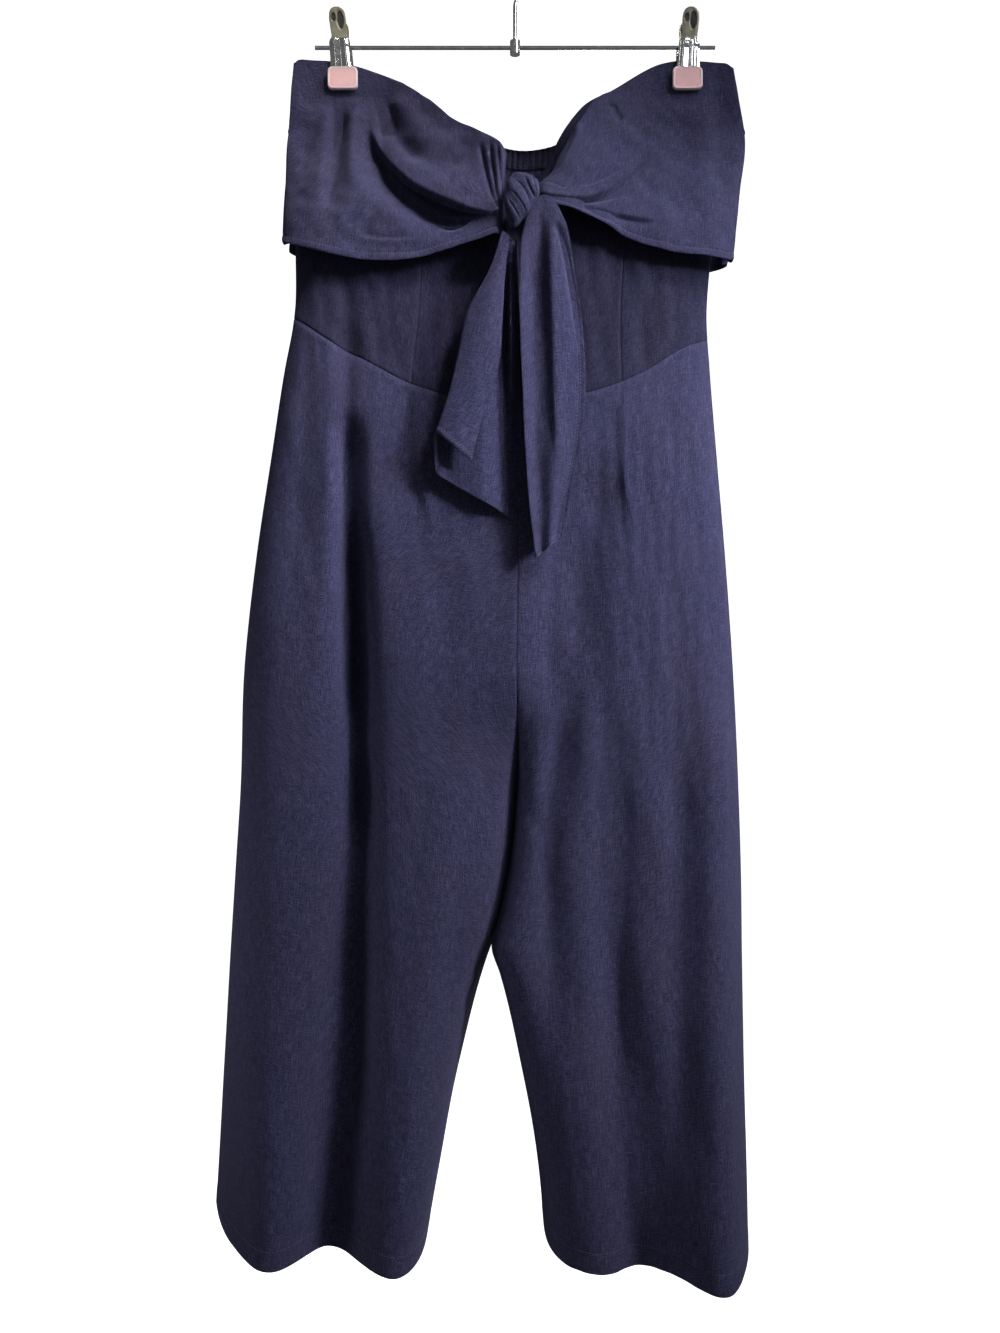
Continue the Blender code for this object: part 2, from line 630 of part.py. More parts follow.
def make_knot():
    """A rounded lump of wrapped cloth, leaning to the lower left, with slanting wraps."""
    rings, segments = KNOT_RINGS, KNOT_SEGMENTS
    slope_x, slope_z = KNOT_WRAP_SLOPE
    vertices = []
    for ring in range(rings + 1):
        polar = math.pi * ring / rings
        around = 1 if ring in (0, rings) else segments
        for segment in range(around):
            turn = 2.0 * math.pi * segment / segments
            unit = np.array([math.sin(polar) * math.cos(turn), math.sin(polar) * math.sin(turn),
                             math.cos(polar)])
            rounded = np.sign(unit) * np.abs(unit) ** KNOT_ROUNDNESS
            turns = KNOT_WRAPS * (slope_z * unit[2] + slope_x * unit[0])
            wrap = math.cos(2.0 * math.pi * turns)
            size = np.array(KNOT_HALF) + KNOT_WRAP_DEPTH * wrap * math.sin(polar)
            x, y, z = rounded * size
            lean_x = x * math.cos(KNOT_LEAN) + z * math.sin(KNOT_LEAN)
            lean_z = z * math.cos(KNOT_LEAN) - x * math.sin(KNOT_LEAN)
            vertices.append(np.array(KNOT_CENTRE) + (lean_x, y, lean_z))
    faces = []
    last = len(vertices) - 1
    for segment in range(segments):
        after = (segment + 1) % segments
        faces.append((0, 1 + segment, 1 + after))
        faces.append((last, last - segments + after, last - segments + segment))
        for ring in range(rings - 2):
            a = 1 + ring * segments
            b = a + segments
            faces.append((a + segment, b + segment, b + after))
            faces.append((a + segment, b + after, a + after))
    turn_out(add_object("knot", vertices, faces, CLOTH_COLOUR))


def make_right_end():
    rows, columns = RIGHT_END_GRID
    down = np.linspace(0.0, 1.0, rows + 1)[:, None]
    share = np.linspace(0.0, 1.0, columns + 1)[None, :]

    def column(name):
        return read(RIGHT_END, RIGHT_END_COLUMNS, name, down)

    x = blend(column("left_x"), column("right_x"), share)
    z = blend(column("left_z"), column("right_z"), share)
    arch = (1.0 - (2.0 * share - 1.0) ** 2) * (1.0 - smooth(down / RIGHT_END_ARCH_FADE))
    z = z + RIGHT_END_ARCH * arch
    wave = -np.cos(2.0 * math.pi * END_WAVES * share + END_WAVE_DRIFT * down) * smooth(down * 4.0)
    y = column("y") + END_WAVE * wave + END_TILT * share * smooth(down * 3.0)
    sheet("tie_end_right", stack(x, y, z))


def make_left_end():
    """A strip folded lengthways: its edge is in front, and the rest turns back behind it."""
    down = np.linspace(0.0, 1.0, LEFT_END_ROWS + 1)[:, None]

    def column(name):
        return read(LEFT_END, LEFT_END_COLUMNS, name, down)

    front_share = np.linspace(0.0, 1.0, LEFT_END_FRONT_COLUMNS + 1)[None, :]
    front_x = blend(column("edge_x"), column("fold_x"), front_share)
    front_z = blend(column("edge_z"), column("fold_z"), front_share)
    settle = smooth(down * 3.0)
    belly = LEFT_END_BELLY * np.sin(math.pi * front_share) * settle
    front_y = LEFT_END_FRONT_Y + LEFT_END_TOP_BACK * (1.0 - settle) - belly
    turn_x = column("fold_x") - LEFT_END_TURN * settle
    turn_z = (column("fold_z") + column("turn_z")) / 2.0
    turn_y = np.full_like(turn_x, (LEFT_END_FRONT_Y + LEFT_END_BEHIND_Y) / 2.0)
    behind_share = np.linspace(0.0, 1.0, LEFT_END_BEHIND_COLUMNS + 1)[None, :]
    behind_x = blend(column("fold_x"), column("behind_x"), behind_share)
    behind_z = blend(column("turn_z"), column("behind_z"), behind_share)
    wave = np.sin(2.0 * math.pi * LEFT_END_WAVES * behind_share) * settle
    behind_y = LEFT_END_BEHIND_Y + LEFT_END_WAVE * wave
    x = np.concatenate([front_x, turn_x, behind_x], axis=1)
    y = np.concatenate([front_y, turn_y, behind_y], axis=1)
    z = np.concatenate([front_z, turn_z, behind_z], axis=1)
    sheet("tie_end_left", stack(x, y, z))


# ---------------------------------------------------------------- hanger
def tube(name, path, radius):
    curve = bpy.data.curves.new(name, "CURVE")
    curve.dimensions = "3D"
    curve.bevel_depth = radius
    curve.bevel_resolution = 3
    curve.use_fill_caps = True
    spline = curve.splines.new("POLY")
    spline.points.add(len(path) - 1)
    for point, place in zip(spline.points, path):
        point.co = (*place, 1.0)
    curve.materials.append(material(name, CHROME_COLOUR, 0.15, 1.0))
    made = bpy.data.objects.new(name, curve)
    bpy.context.scene.collection.objects.link(made)
    return made


def make_hook():
    """Up the neck, out to the right, over the seat and down on the left."""
    radius = HOOK_RADIUS + WIRE_RADIUS
    path = [(0.0, 0.0, BAR_Z + BOSS_HALF + CLEARANCE), (0.0, 0.0, (BAR_Z + NECK_TOP) / 2.0)]
    for step in range(NECK_STEPS):
        share = step / NECK_STEPS
        path.append((radius * float(smooth(share)), 0.0, blend(NECK_TOP, -HOOK_RADIUS, share)))
    for step in range(HOOK_STEPS + 1):
        angle = HOOK_SWEEP * step / HOOK_STEPS
        path.append((radius * math.cos(angle), 0.0, -HOOK_RADIUS + radius * math.sin(angle)))
    tube("hanger_hook", path, WIRE_RADIUS)


def make_bar():
    ends = (-BAR_HALF, -BAR_HALF / 2.0, 0.0, BAR_HALF / 2.0, BAR_HALF)
    tube("hanger_bar", [(x, 0.0, BAR_Z) for x in ends], WIRE_RADIUS)


def make_boss():
    """The upright cylinder that the hook is set in, with a clearance hole for the bar across it."""
    centre = (0.0, 0.0, BAR_Z)
    bpy.ops.mesh.primitive_cylinder_add(
        vertices=ROUND_SIDES, radius=WIRE_RADIUS + CLEARANCE, depth=4.0 * BOSS_RADIUS,
        location=centre, rotation=(0.0, math.pi / 2.0, 0.0))
    cutter = bpy.context.object
    cutter.name = "boss_cutter"
    cutter.hide_render = True
    cutter.display_type = "WIRE"
    bpy.ops.mesh.primitive_cylinder_add(
        vertices=ROUND_SIDES, radius=BOSS_RADIUS, depth=2.0 * BOSS_HALF, location=centre)
    boss = bpy.context.object
    boss.name = "hanger_boss"
    boss.data.materials.append(material(boss.name, CHROME_COLOUR, 0.2, 1.0))
    cut = boss.modifiers.new("bar hole", "BOOLEAN")
    cut.operation = "DIFFERENCE"
    cut.object = cutter


def make_spring(name, centre):
    """A clip's spring as a sleeve that runs along the bar, with a clearance hole for it."""
    vertices = []
    for x in (-SPRING_HALF, SPRING_HALF):
        for ring in (SPRING_RADIUS, WIRE_RADIUS + CLEARANCE):
            for step in range(ROUND_SIDES):
                turn = 2.0 * math.pi * step / ROUND_SIDES
                vertices.append((centre[0] + x, centre[1] + ring * math.cos(turn),
                                 centre[2] + ring * math.sin(turn)))
    outer, inner, far = 0, ROUND_SIDES, 2 * ROUND_SIDES
    faces = []
    for step in range(ROUND_SIDES):
        after = (step + 1) % ROUND_SIDES
        faces.append((outer + step, outer + after, outer + far + after, outer + far + step))
        faces.append((inner + after, inner + step, inner + far + step, inner + far + after))
        faces.append((outer + after, outer + step, inner + step, inner + after))
        faces.append((outer + far + step, outer + far + after, inner + far + after,
                      inner + far + step))
    turn_out(add_object(name, vertices, faces, CHROME_COLOUR, 0.2, 1.0))


def make_clip(name, clip_x, lean):
    rows = np.array(CLIP_PROFILE)
    share = np.linspace(-1.0, 1.0, CLIP_ACROSS + 1)[None, :]
    for side, side_name in ((FRONT, "front"), (BACK, "back")):
        x = clip_x + rows[:, 2:3] * share + lean * (rows[:, 0:1] - PAD_CENTRE_Z)
        crown = CLIP_CROWN * (1.0 - share ** 2)
        y = side * (rows[:, 1:2] + crown)
        z = rows[:, 0:1] + 0.0 * share
        sheet(f"clip_{name}_jaw_{side_name}", stack(x, y, z), wall=CLIP_METAL,
              colour=CHROME_COLOUR, roughness=0.15, metallic=1.0)
        centre_y = side * (PAD_INNER_Y + PAD_SIZE[1] / 2.0)
        bpy.ops.mesh.primitive_cube_add(size=1.0, location=(clip_x, centre_y, PAD_CENTRE_Z))
        pad = bpy.context.object
        pad.name = f"clip_{name}_pad_{side_name}"
        for vertex in pad.data.vertices:
            vertex.co = [place * size for place, size in zip(vertex.co, PAD_SIZE)]
        rounding = pad.modifiers.new("rounding", "BEVEL")
        rounding.width = PAD_ROUNDING
        rounding.segments = 2
        pad.data.shade_smooth()
        pad.data.set_sharp_from_angle(angle=math.radians(60))
        pad.data.materials.append(material(pad.name, PAD_COLOUR, 0.45, 0.0))
    make_spring(f"clip_{name}_spring", (clip_x, 0.0, BAR_Z))


def main():
    for old in list(bpy.data.objects):
        bpy.data.objects.remove(old, do_unlink=True)
    make_trousers()
    make_bodice_front()
    make_bodice_back()
    make_band_front()
    make_band_back()
    make_knot()
    make_right_end()
    make_left_end()
    make_hook()
    make_bar()
    make_boss()
    for name, clip_x, lean in zip(("left", "right"), CLIP_X, CLIP_LEAN):
        make_clip(name, clip_x, lean)


main()
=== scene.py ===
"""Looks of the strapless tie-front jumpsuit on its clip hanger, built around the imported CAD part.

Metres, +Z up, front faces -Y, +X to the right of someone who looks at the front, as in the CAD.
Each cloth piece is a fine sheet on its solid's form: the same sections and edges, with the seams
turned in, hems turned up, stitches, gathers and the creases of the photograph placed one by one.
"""

import math

import bpy
import numpy as np
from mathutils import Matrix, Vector


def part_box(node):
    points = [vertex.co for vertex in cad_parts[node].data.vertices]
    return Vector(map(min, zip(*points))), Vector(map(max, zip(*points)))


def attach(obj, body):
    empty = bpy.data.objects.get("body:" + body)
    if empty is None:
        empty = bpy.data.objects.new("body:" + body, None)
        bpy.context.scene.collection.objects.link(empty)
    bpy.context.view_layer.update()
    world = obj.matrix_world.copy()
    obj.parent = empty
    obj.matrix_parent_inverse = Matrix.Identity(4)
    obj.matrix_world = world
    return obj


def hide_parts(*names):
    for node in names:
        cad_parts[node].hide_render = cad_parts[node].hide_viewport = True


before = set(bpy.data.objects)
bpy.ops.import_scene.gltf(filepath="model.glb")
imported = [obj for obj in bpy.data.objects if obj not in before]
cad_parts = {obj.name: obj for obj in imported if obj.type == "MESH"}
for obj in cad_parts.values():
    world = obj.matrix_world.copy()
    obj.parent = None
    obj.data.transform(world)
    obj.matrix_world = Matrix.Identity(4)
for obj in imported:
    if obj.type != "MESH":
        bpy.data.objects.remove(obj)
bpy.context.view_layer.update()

FRONT, BACK = -1, 1
LEFT, RIGHT = -1, 1
SIDE_NAMES = {FRONT: "front", BACK: "back"}
LEG_NAMES = {LEFT: "left", RIGHT: "right"}
MM = 0.001


def in_metres(rows, plain=0):
    """A table in metres from one in millimetres, but for its first plain columns."""
    return tuple(row[:plain] + tuple(value / 1000.0 for value in row[plain:]) for row in rows)


# ---------------------------------------------------------------- sections, as in the CAD
CROTCH_Z = -0.845
CROTCH_CURVE_Z = -0.715
HEM_Z = -1.260
CASING_HEIGHT = 0.019

BODY_COLUMNS = ("z", "left_x", "right_x", "left_y", "right_y", "front_y", "back_y", "centre_x")
BODY = in_metres((
    (-110, -214, 208, 0, 0, -34, 30, 2),
    (-200, -214, 200, 0, 0, -38, 31, 2),
    (-300, -213, 191, 0, 0, -41, 28, 2),
    (-372, -215, 186, 0, 0, -43, 26, 2),
    (-420, -224, 189, 2, 1, -45, 31, 3),
    (-500, -237, 195.5, 8, 2, -48, 42, 3),
    (-600, -253, 204, 16, 4, -51, 53, 2),
    (-700, -265, 211, 24, 5, -54, 61, 1),
    (-800, -271, 216, 32, 6, -58, 69, 3),
    (-900, -280, 219.5, 40, 7, -62, 76, 4),
    (-1000, -289, 221, 48, 8, -66, 84, 4),
    (-1100, -297, 223, 56, 9, -70, 92, 4),
    (-1200, -304, 226, 62, 10, -74, 100, 4),
    (-1270, -309, 227.5, 66, 10, -76, 104, 4),
))
LEG_COLUMNS = ("z", "left_x", "right_x", "inner_y", "left_front_y", "right_front_y",
               "left_back_y", "right_back_y")
LEGS = in_metres((
    (-700, 0.5, 1.5, 6, -54, -54, 61, 61),
    (-845, 3, 5, 8, -59, -60, 72, 70),
    (-900, -3, -1, 10, -62, -63, 76, 73),
    (-950, -13.6, -11.6, 12, -64, -66, 80, 75),
    (-976, -22.5, -19, 13, -65, -68, 82, 76),
    (-1000, -31, -11.5, 14, -66, -70, 84, 77),
    (-1100, -56, 8.5, 18, -72, -77, 92, 81),
    (-1200, -75.5, 23.5, 22, -83, -85, 100, 85),
    (-1270, -88, 30, 25, -92, -90, 104, 88),
))
# How flat the sections are: 2 is an ellipse.
BODY_SQUARENESS = {FRONT: 3.6, BACK: 2.6}
HIP_SQUARENESS = {FRONT: 3.4, BACK: 2.7}
HEM_SQUARENESS = {LEFT: (2.8, 4.2), RIGHT: (3.8, 3.0)}
LEG_SLANT = 0.17
SLANT_END_Z = -1.190
OUTER_SLANT = {LEFT: 0.30, RIGHT: 0.12}
OUTER_SLANT_Z = -0.62
LEGS_PART_Z = -0.976

FOLD_COLUMNS = ("leg", "side", "top_z", "top_x", "middle_x", "hem_x", "left_width", "right_width",
                "depth")
FOLDS = in_metres((
    (LEFT, FRONT, -470, -158, -149, -178, 34, 40, 66),
    (LEFT, FRONT, -760, -60, -80, -99, 26, 22, -24),
    (LEFT, FRONT, -560, -215, -222, -232, 26, 30, -12),
    (RIGHT, FRONT, -560, 88, 70, 116, 26, 34, 26),
    (RIGHT, FRONT, -600, 192, 190, 190, 34, 26, -42),
    (LEFT, BACK, -560, -190, -205, -240, 26, 30, 26),
    (LEFT, BACK, -640, -75, -100, -145, 30, 26, 34),
    (RIGHT, BACK, -600, 60, 62, 85, 26, 30, 32),
    (RIGHT, BACK, -520, 150, 160, 172, 24, 26, 24),
), plain=2)

EDGE_COLUMNS = ("across", "neck_z", "waist_z", "back_neck_z", "back_waist_z")
EDGES = in_metres((
    (-1.00, -113.5, -370, -113.5, -370),
    (-0.80, -116, -396, -117, -374),
    (-0.58, -131, -420, -130, -378),
    (-0.39, -159, -440, -149, -381),
    (-0.26, -188, -449, -166, -383),
    (-0.16, -204, -455, -177, -384),
    (-0.03, -228, -459, -185, -385),
    (0.05, -262, -461, -188, -385),
    (0.14, -248, -459, -188, -386),
    (0.23, -205, -456, -185, -387),
    (0.33, -170, -452, -177, -388),
    (0.47, -147, -445, -156, -388),
    (0.69, -117, -426, -127, -390),
    (0.85, -115, -405, -117, -391),
    (1.00, -118, -392, -118, -392),
), plain=1)
PRINCESS_SEAMS = (-0.386, 0.565)

CLIP_X = (-0.168, 0.168)
PINCH_SPREAD = 0.136
PINCH_Z = -0.174
PINCH_FADE = 0.110
HELD_Z = -0.1470
HELD_Z_FADE = 0.030
HELD_HALF = 0.026
HELD_FADE = 0.034
LAYER_Y = 0.00095
BAND_LAYER = 0.00165
# How far the bodice under the band is pushed in, so that the band's recess can be deep.
BAND_SINK, SINK_Z, SINK_FADE = 0.011, -0.190, 0.040
NECK_BOW = {FRONT: 0.036, BACK: 0.030}

BAND_COLUMNS = ("z", "left_x", "right_x")
BAND = in_metres((
    (-110, -215, 211),
    (-150, -218, 217),
    (-190, -220.5, 223.5),
    (-250, -222.5, 216.5),
    (-330, -224.5, 208),
))
BAND_EDGE_COLUMNS = ("across", "hem_z", "back_hem_z")
BAND_EDGES = in_metres((
    (-1.00, -303, -295),
    (-0.77, -319, -304),
    (-0.55, -327, -313),
    (-0.35, -324, -322),
    (-0.18, -314, -323),
    (-0.02, -303, -324),
    (0.14, -281.5, -324),
    (0.37, -290.5, -324),
    (0.52, -307, -324),
    (0.69, -317, -318),
    (1.00, -320, -309),
), plain=1)
BAND_KNOT_ENDS = {LEFT: -0.033, RIGHT: 0.158}
BAND_STANDOFF = 0.0080
BAND_STEP_OUT = {FRONT: 0.0045, BACK: 0.0042}
KNOT_PULL = 0.0170
KNOT_PULL_WIDTH = 0.060
GATHERS = 38
GATHER_DEPTH = 0.0009

KNOT_CENTRE = (0.0032, -0.0685, -0.2775)
KNOT_HALF = (0.0142, 0.0125, 0.0250)
KNOT_LEAN = math.radians(17)
# Lines of the wraps on the knot's front, as the creases below.
KNOT_CREASES = in_metres((
    (-7.9, -279.3, 1.3, -293, 5.8, -302.1, 0.9, 1.2, 1.1, 1.2),
    (-9, -288, -4.7, -296.2, -1, -303.5, 0.9, 0.8, 0.9, 0.8),
    (-5.6, -270.2, 5.2, -283.9, 8.8, -291.6, 0.9, 1, 0.9, 1),
    (-0.1, -262.5, 8.5, -272.5, 12.2, -283.9, 0.9, 1, 0.9, 1),
    (8.1, -257, 11.7, -268, 17.5, -278, 1.1, 1.8, 1.1, 1.8),
    (15, -256, 16.5, -265, 19, -273, 0.9, 1, 0.9, 1),
))
# How much narrower the knot is at its lower end and wider at its upper one.
KNOT_TAPER = 0.42

RIGHT_END_COLUMNS = ("down", "left_x", "left_z", "right_x", "right_z", "y")
RIGHT_END = in_metres((
    (0.00, 10, -293, 38.5, -283.5, -71),
    (0.08, 5, -314.5, 45.5, -298.5, -73.5),
    (0.18, 3.5, -347, 50, -318, -73.5),
    (0.35, 4, -396, 59.5, -376, -71.5),
    (0.55, 6.5, -454, 64, -435, -70.5),
    (0.75, 9.5, -512, 60.5, -496, -70),
    (0.90, 13.5, -564, 50.5, -545, -70),
    (1.00, 19, -606, 42, -586, -70),
), plain=1)
LEFT_END_COLUMNS = ("down", "edge_x", "edge_z", "fold_x", "fold_z", "turn_z", "behind_x",
                    "behind_z")
LEFT_END = in_metres((
    (0.00, -6, -311, -12, -306, -306.5, 1, -311.5),
    (0.15, -9.5, -340, -23, -340, -340, 2, -350),
    (0.35, -11.8, -375, -43, -380, -381, 3, -400),
    (0.55, -15, -423, -52, -420, -424, 5, -450),
    (0.75, -26, -460, -61, -456, -470, 8, -505),
    (0.90, -35, -492, -68, -476, -503, 10, -547),
    (1.00, -41, -518, -73, -491, -529, 12, -578),
), plain=1)
STRIP_X, STRIP_HALF, STRIP_FORWARD = -0.0046, 0.0022, 0.0190
LEFT_END_FRONT_Y = -0.0720
LEFT_END_BEHIND_Y = -0.0615
BEHIND_DROP = 0.0110
END_WAVE = 0.0030
RIGHT_END_ARCH = 0.0150

WIRE_RADIUS = 0.0020
HOOK_RADIUS = 0.0200
BAR_Z = -0.1004
BAR_HALF = 0.1960
CLIP_COLUMNS = ("z", "y", "half_width")
CLIP_PROFILE = in_metres((
    (-122.3, 6.4, 11),
    (-113.4, 6.6, 10.4),
    (-104.4, 7.2, 10.2),
    (-97.9, 7.8, 9.6),
    (-95.4, 8.2, 8),
    (-86.4, 9.8, 7.8),
    (-74.4, 11.6, 7.8),
    (-69.6, 12.3, 6.2),
    (-67.2, 12.7, 3.4),
))
CLIP_LEAN = (-0.080, 0.045)
PAD_SIZE = (0.0290, 0.0050, 0.0215)
PAD_INNER_Y = 0.0037
PAD_CENTRE_Z = -0.1334
TONGUE_Z = -0.0960
TONGUE_HOLLOWS = ((-0.0038, -0.0765, 0.0023, 0.0040), (0.0026, -0.0790, 0.0032, 0.0082))

# ---------------------------------------------------------------- cloth, seams and stitches
CLOTH_WALL = 0.0007
SEAM_HALF = 0.00035
BACK_SEAM_HALF = -0.0002
SEAM_ACROSS = 0.0016
# The allowance of one piece that lies under the next one along a seam.
UNDER_LAP, UNDER_DEPTH, LAP_ACROSS = 0.0030, 0.0012, 0.0140
# Soft ripples of the cloth die out this close to the waist seam, and beside the long seams.
WAIST_REACH = 0.020
SEAM_FREEDOM = 10.0
INTO_KNOT, INTO_KNOT_X, INTO_KNOT_Z = 0.0115, 0.0310, -0.2380
CORNER_DROP = 0.0045
CORNER_WIDTH = 0.018
EDGE_STEPS = (0.0, 0.0004, 0.0009, 0.0016, 0.0026, 0.0040)
# How an edge of a piece is finished: it rolls in by roll within width, and turns (back, behind).
SEAM = {"roll": 0.0006, "width": 0.0010, "turns": ((0.0002, 0.0010), (0.0012, 0.0050))}
FOLDED = {"roll": 0.0003, "width": 0.0010, "turns": ((0.0003, 0.0010), (0.0100, 0.0013))}
HEMMED = {"roll": 0.0002, "width": 0.0010, "turns": ((0.0003, 0.0011), (0.0160, 0.0014))}
ROLLED = {"roll": 0.0004, "width": 0.0010, "turns": ((0.0003, 0.0009),)}
STITCH_GROOVE = 0.0005
STITCH_GROOVE_WIDTH = 0.0012
DOUBLE_LAYER = 0.0004
STITCH_LENGTH = 0.0024
STITCH_PITCH = 0.0032
THREAD_RADIUS = 0.00024

# Creases: lines through three places. On each hand of the line, as one walks along it, the cloth is
# pushed in by depth (out where depth < 0), which dies away over width.
CREASE_COLUMNS = ("x0", "z0", "x1", "z1", "x2", "z2", "left_width", "left_depth", "right_width",
                  "right_depth")
CREASE_STEP = 0.0030
CREASE_SAMPLES = 25
KNOT_STEP = 0.0016
ROLL_ROW = 0.60
ROLL_LIP = 0.0050
INNER_TURN, INNER_TURN_WIDTH = 0.0090, 0.016

LEFT_BAND_CREASES = in_metres((
    # the big roll over the deep recess
    (-140, -186, -102, -247, -20, -289, 30, -11, 22, 12.5),
    (-128, -222, -90, -272, -42, -288, 10, 0, 13, 6),
    # the small fold loop at the end of the recess, and the dark pocket under it
    (-80, -280, -60, -284, -34, -285.5, 3, 2, 4, -3.5),
    (-72, -296, -55, -300, -40, -288, 4, 4, 4, -2),
    # trough below the clip, and the diagonal one that runs down into the recess
    (-174, -140, -173.5, -200, -177, -285, 9, 9, 6, 9),
    (-186, -150, -187, -200, -192, -270, 12, -4.2, 12, -4.2),
    (-134.5, -145, -116.5, -190, -87, -231, 10, 8, 8, 8),
    (-118, -160, -129, -200, -118, -236, 6, 6, 6, 6),
    (-158, -150, -157, -195, -153, -260, 8, -8, 8, -8),
    (-122, -150, -92, -190, -50, -232, 16, -6, 14, -6),
    # three upright pleats at the knot, and the small knob that they end in
    (-33, -215, -27, -250, -18.5, -279, 2.8, 5, 2.8, 5),
    (-24.5, -215, -20, -252, -15.5, -281, 2.2, 4.6, 2.2, 4.6),
    (-17, -218, -14.5, -253, -12.5, -279, 1.8, 3.6, 1.8, 3.6),
    (-18.5, -284, -15.5, -286.8, -12.5, -289, 4.2, -4.5, 4.2, -4.5),
    # small ones towards the hem
    (-196, -150, -200, -215, -206, -290, 10, 1.8, 12, 1.8),
    (-130, -262, -98, -300, -60, -312, 12, -2.4, 16, -2.4),
    (-150, -300, -120, -308, -90, -306, 5, 1.2, 6, -1),
))
RIGHT_BAND_CREASES = in_metres((
    # the long crease that runs out of the knot and curls up
    (20, -266, 78, -267, 126, -208, 12, -3, 7, 4.4),
    (20, -268, 62, -275.5, 112, -262, 4, 2.2, 6, -1.2),
    (56, -262, 80, -252, 100, -236, 5, 2.2, 7, -1),
    # a short one in the gathered end, and the lower crease
    (36, -257, 42, -260, 48, -265.5, 2.2, 2.2, 2.4, -0.8),
    (46, -273.5, 88, -284, 133, -290, 6, -0.8, 6, 2.6),
    # the rolled edge beside the dark wedge at the neck, and the small crease at the top edge
    (50, -194, 37.5, -228, 22.5, -256, 9, 10, 2, 10),
    (61, -190, 50, -224, 31, -254, 4, -3.4, 4, -3.4),
    (45, -190, 34, -222, 20, -246, 2, -4, 4, -4),
    (92.5, -164, 97, -172, 104, -183, 3, 3, 6, 3),
    # troughs under the clip and beside it
    (160, -160, 161, -225, 150, -292, 16, 4.4, 14, 4.4),
    (128, -160, 118, -200, 100, -235, 16, 2.4, 16, 2.4),
    (195, -150, 202, -210, 196, -290, 14, 2.2, 14, 2.2),
    # the bulge of the upper part, and the rolled lower edge beside the knot
    (40, -252, 80, -222, 110, -180, 20, -5.6, 20, -5.6),
    (30, -270, 60, -286, 100, -303, 6, -3.4, 8, -3.4),
))
BACK_BAND_CREASES = in_metres((
    (-165, -150, -150, -220, -120, -300, 16, 3, 20, 2),
    (165, -150, 155, -225, 130, -305, 20, 2, 16, 3),
    (-70, -190, -55, -250, -60, -315, 18, 2.2, 14, 1.6),
    (50, -195, 60, -255, 48, -318, 14, 1.8, 18, 2),
    (0, -195, -6, -240, 4, -290, 12, -1.4, 12, -1.4),
))
BODICE_CREASES = in_metres((
    (-188, -345, -184, -368, -181, -396, 6, 1.2, 6, 1.2),
    (-166, -320, -163, -368, -158, -425, 10, 3, 10, 3),
    (-142, -338, -134, -372, -130, -420, 6, 1.6, 6, 1.6),
    (-112, -340, -106, -378, -104, -432, 7, 1.4, 6, 1.4),
    (-70, -345, -78, -390, -76, -446, 8, 1.4, 8, 1.4),
    # hollow behind the tie ends
    (4, -290, 4.5, -370, 5, -455, 10, 11, 10, 11),
    (-42, -310, -52, -350, -64, -420, 16, 6, 16, 6),
    (118, -345, 122, -385, 118, -432, 7, 1.4, 7, 1.4),
    (146, -335, 150, -378, 146, -424, 8, 1.6, 6, 1.2),
    (172, -345, 174, -375, 168, -410, 6, 1.2, 6, 1.2),
))
TROUSER_CREASES = {
    (LEFT, FRONT): in_metres((
        # the long valley: its right wall stays in the dark
        (-156, -380, -160, -440, -160, -520, 12, 4, 12, 4),
        (-160, -460, -159, -600, -153, -780, 15, 20, 9, 20),
        (-157, -560, -154, -700, -149, -900, 16, 17, 10, 17),
        (-151, -780, -149, -960, -146, -1180, 18, 12, 14, 12),
        # the soft ridge beside the dark outer strip
        (-226, -540, -243, -850, -256, -1230, 22, -3.2, 16, -3.2),
        # creases from the crotch
        (-52, -890, -36, -850, -22, -800, 8, 2.2, 10, 2.2),
        (-66, -766, -40, -762, -16, -770, 4, 1.2, 4, -0.8),
        (-94, -440, -96, -500, -82, -570, 22, -2.6, 12, 2),
        (-195, -420, -198, -500, -206, -610, 14, 2.4, 14, 2.4),
        (-60, -600, -66, -700, -72, -820, 14, 2, 16, 2),
    )),
    (RIGHT, FRONT): in_metres((
        # from the dart down the inner side
        (78, -500, 60, -640, 42, -760, 24, 11, 40, 11),
        (58, -720, 31, -860, 37, -1080, 18, 10, 12, 10),
        (30, -480, 34, -590, 20, -720, 14, 2.4, 16, 2.4),
        # the two long soft troughs of the outer half
        (152, -600, 153, -740, 154, -900, 12, 2.2, 14, 2.2),
        (154, -780, 152, -960, 152, -1200, 14, 5.5, 16, 5.5),
        (100, -800, 98, -960, 90, -1140, 12, 3.4, 14, 3.4),
        # small ones
        (146, -752, 154, -755, 162, -753, 2, 1.2, 3, -0.8),
        (-2, -800, 10, -838, 24, -872, 6, 2.4, 6, 1.6),
        (10, -900, 16, -990, 24, -1080, 6, 2, 8, 1.6),
        # the dart's fold: sharp at its tip, full on its right
        (98, -440, 99, -520, 104, -590, 20, -1.4, 14, 1),
        (99, -520, 104, -548, 112, -585, 4, -0.6, 4, 1),
    )),
    (LEFT, BACK): in_metres((
        (-150, -470, -158, -620, -172, -820, 14, 4, 16, 3),
        (-60, -560, -70, -700, -90, -900, 14, 3, 14, 3.6),
        (-30, -800, -50, -830, -80, -850, 8, 2, 10, 1.6),
        (-215, -600, -236, -850, -256, -1120, 12, 2.6, 12, 2),
    )),
    (RIGHT, BACK): in_metres((
        (60, -520, 64, -680, 58, -880, 14, 3.6, 14, 3),
        (150, -450, 156, -600, 150, -800, 12, 3, 16, 3.4),
        (30, -805, 48, -830, 74, -846, 10, 1.6, 8, 2),
        (110, -760, 104, -950, 112, -1150, 14, 2.6, 14, 2.6),
    )),
}
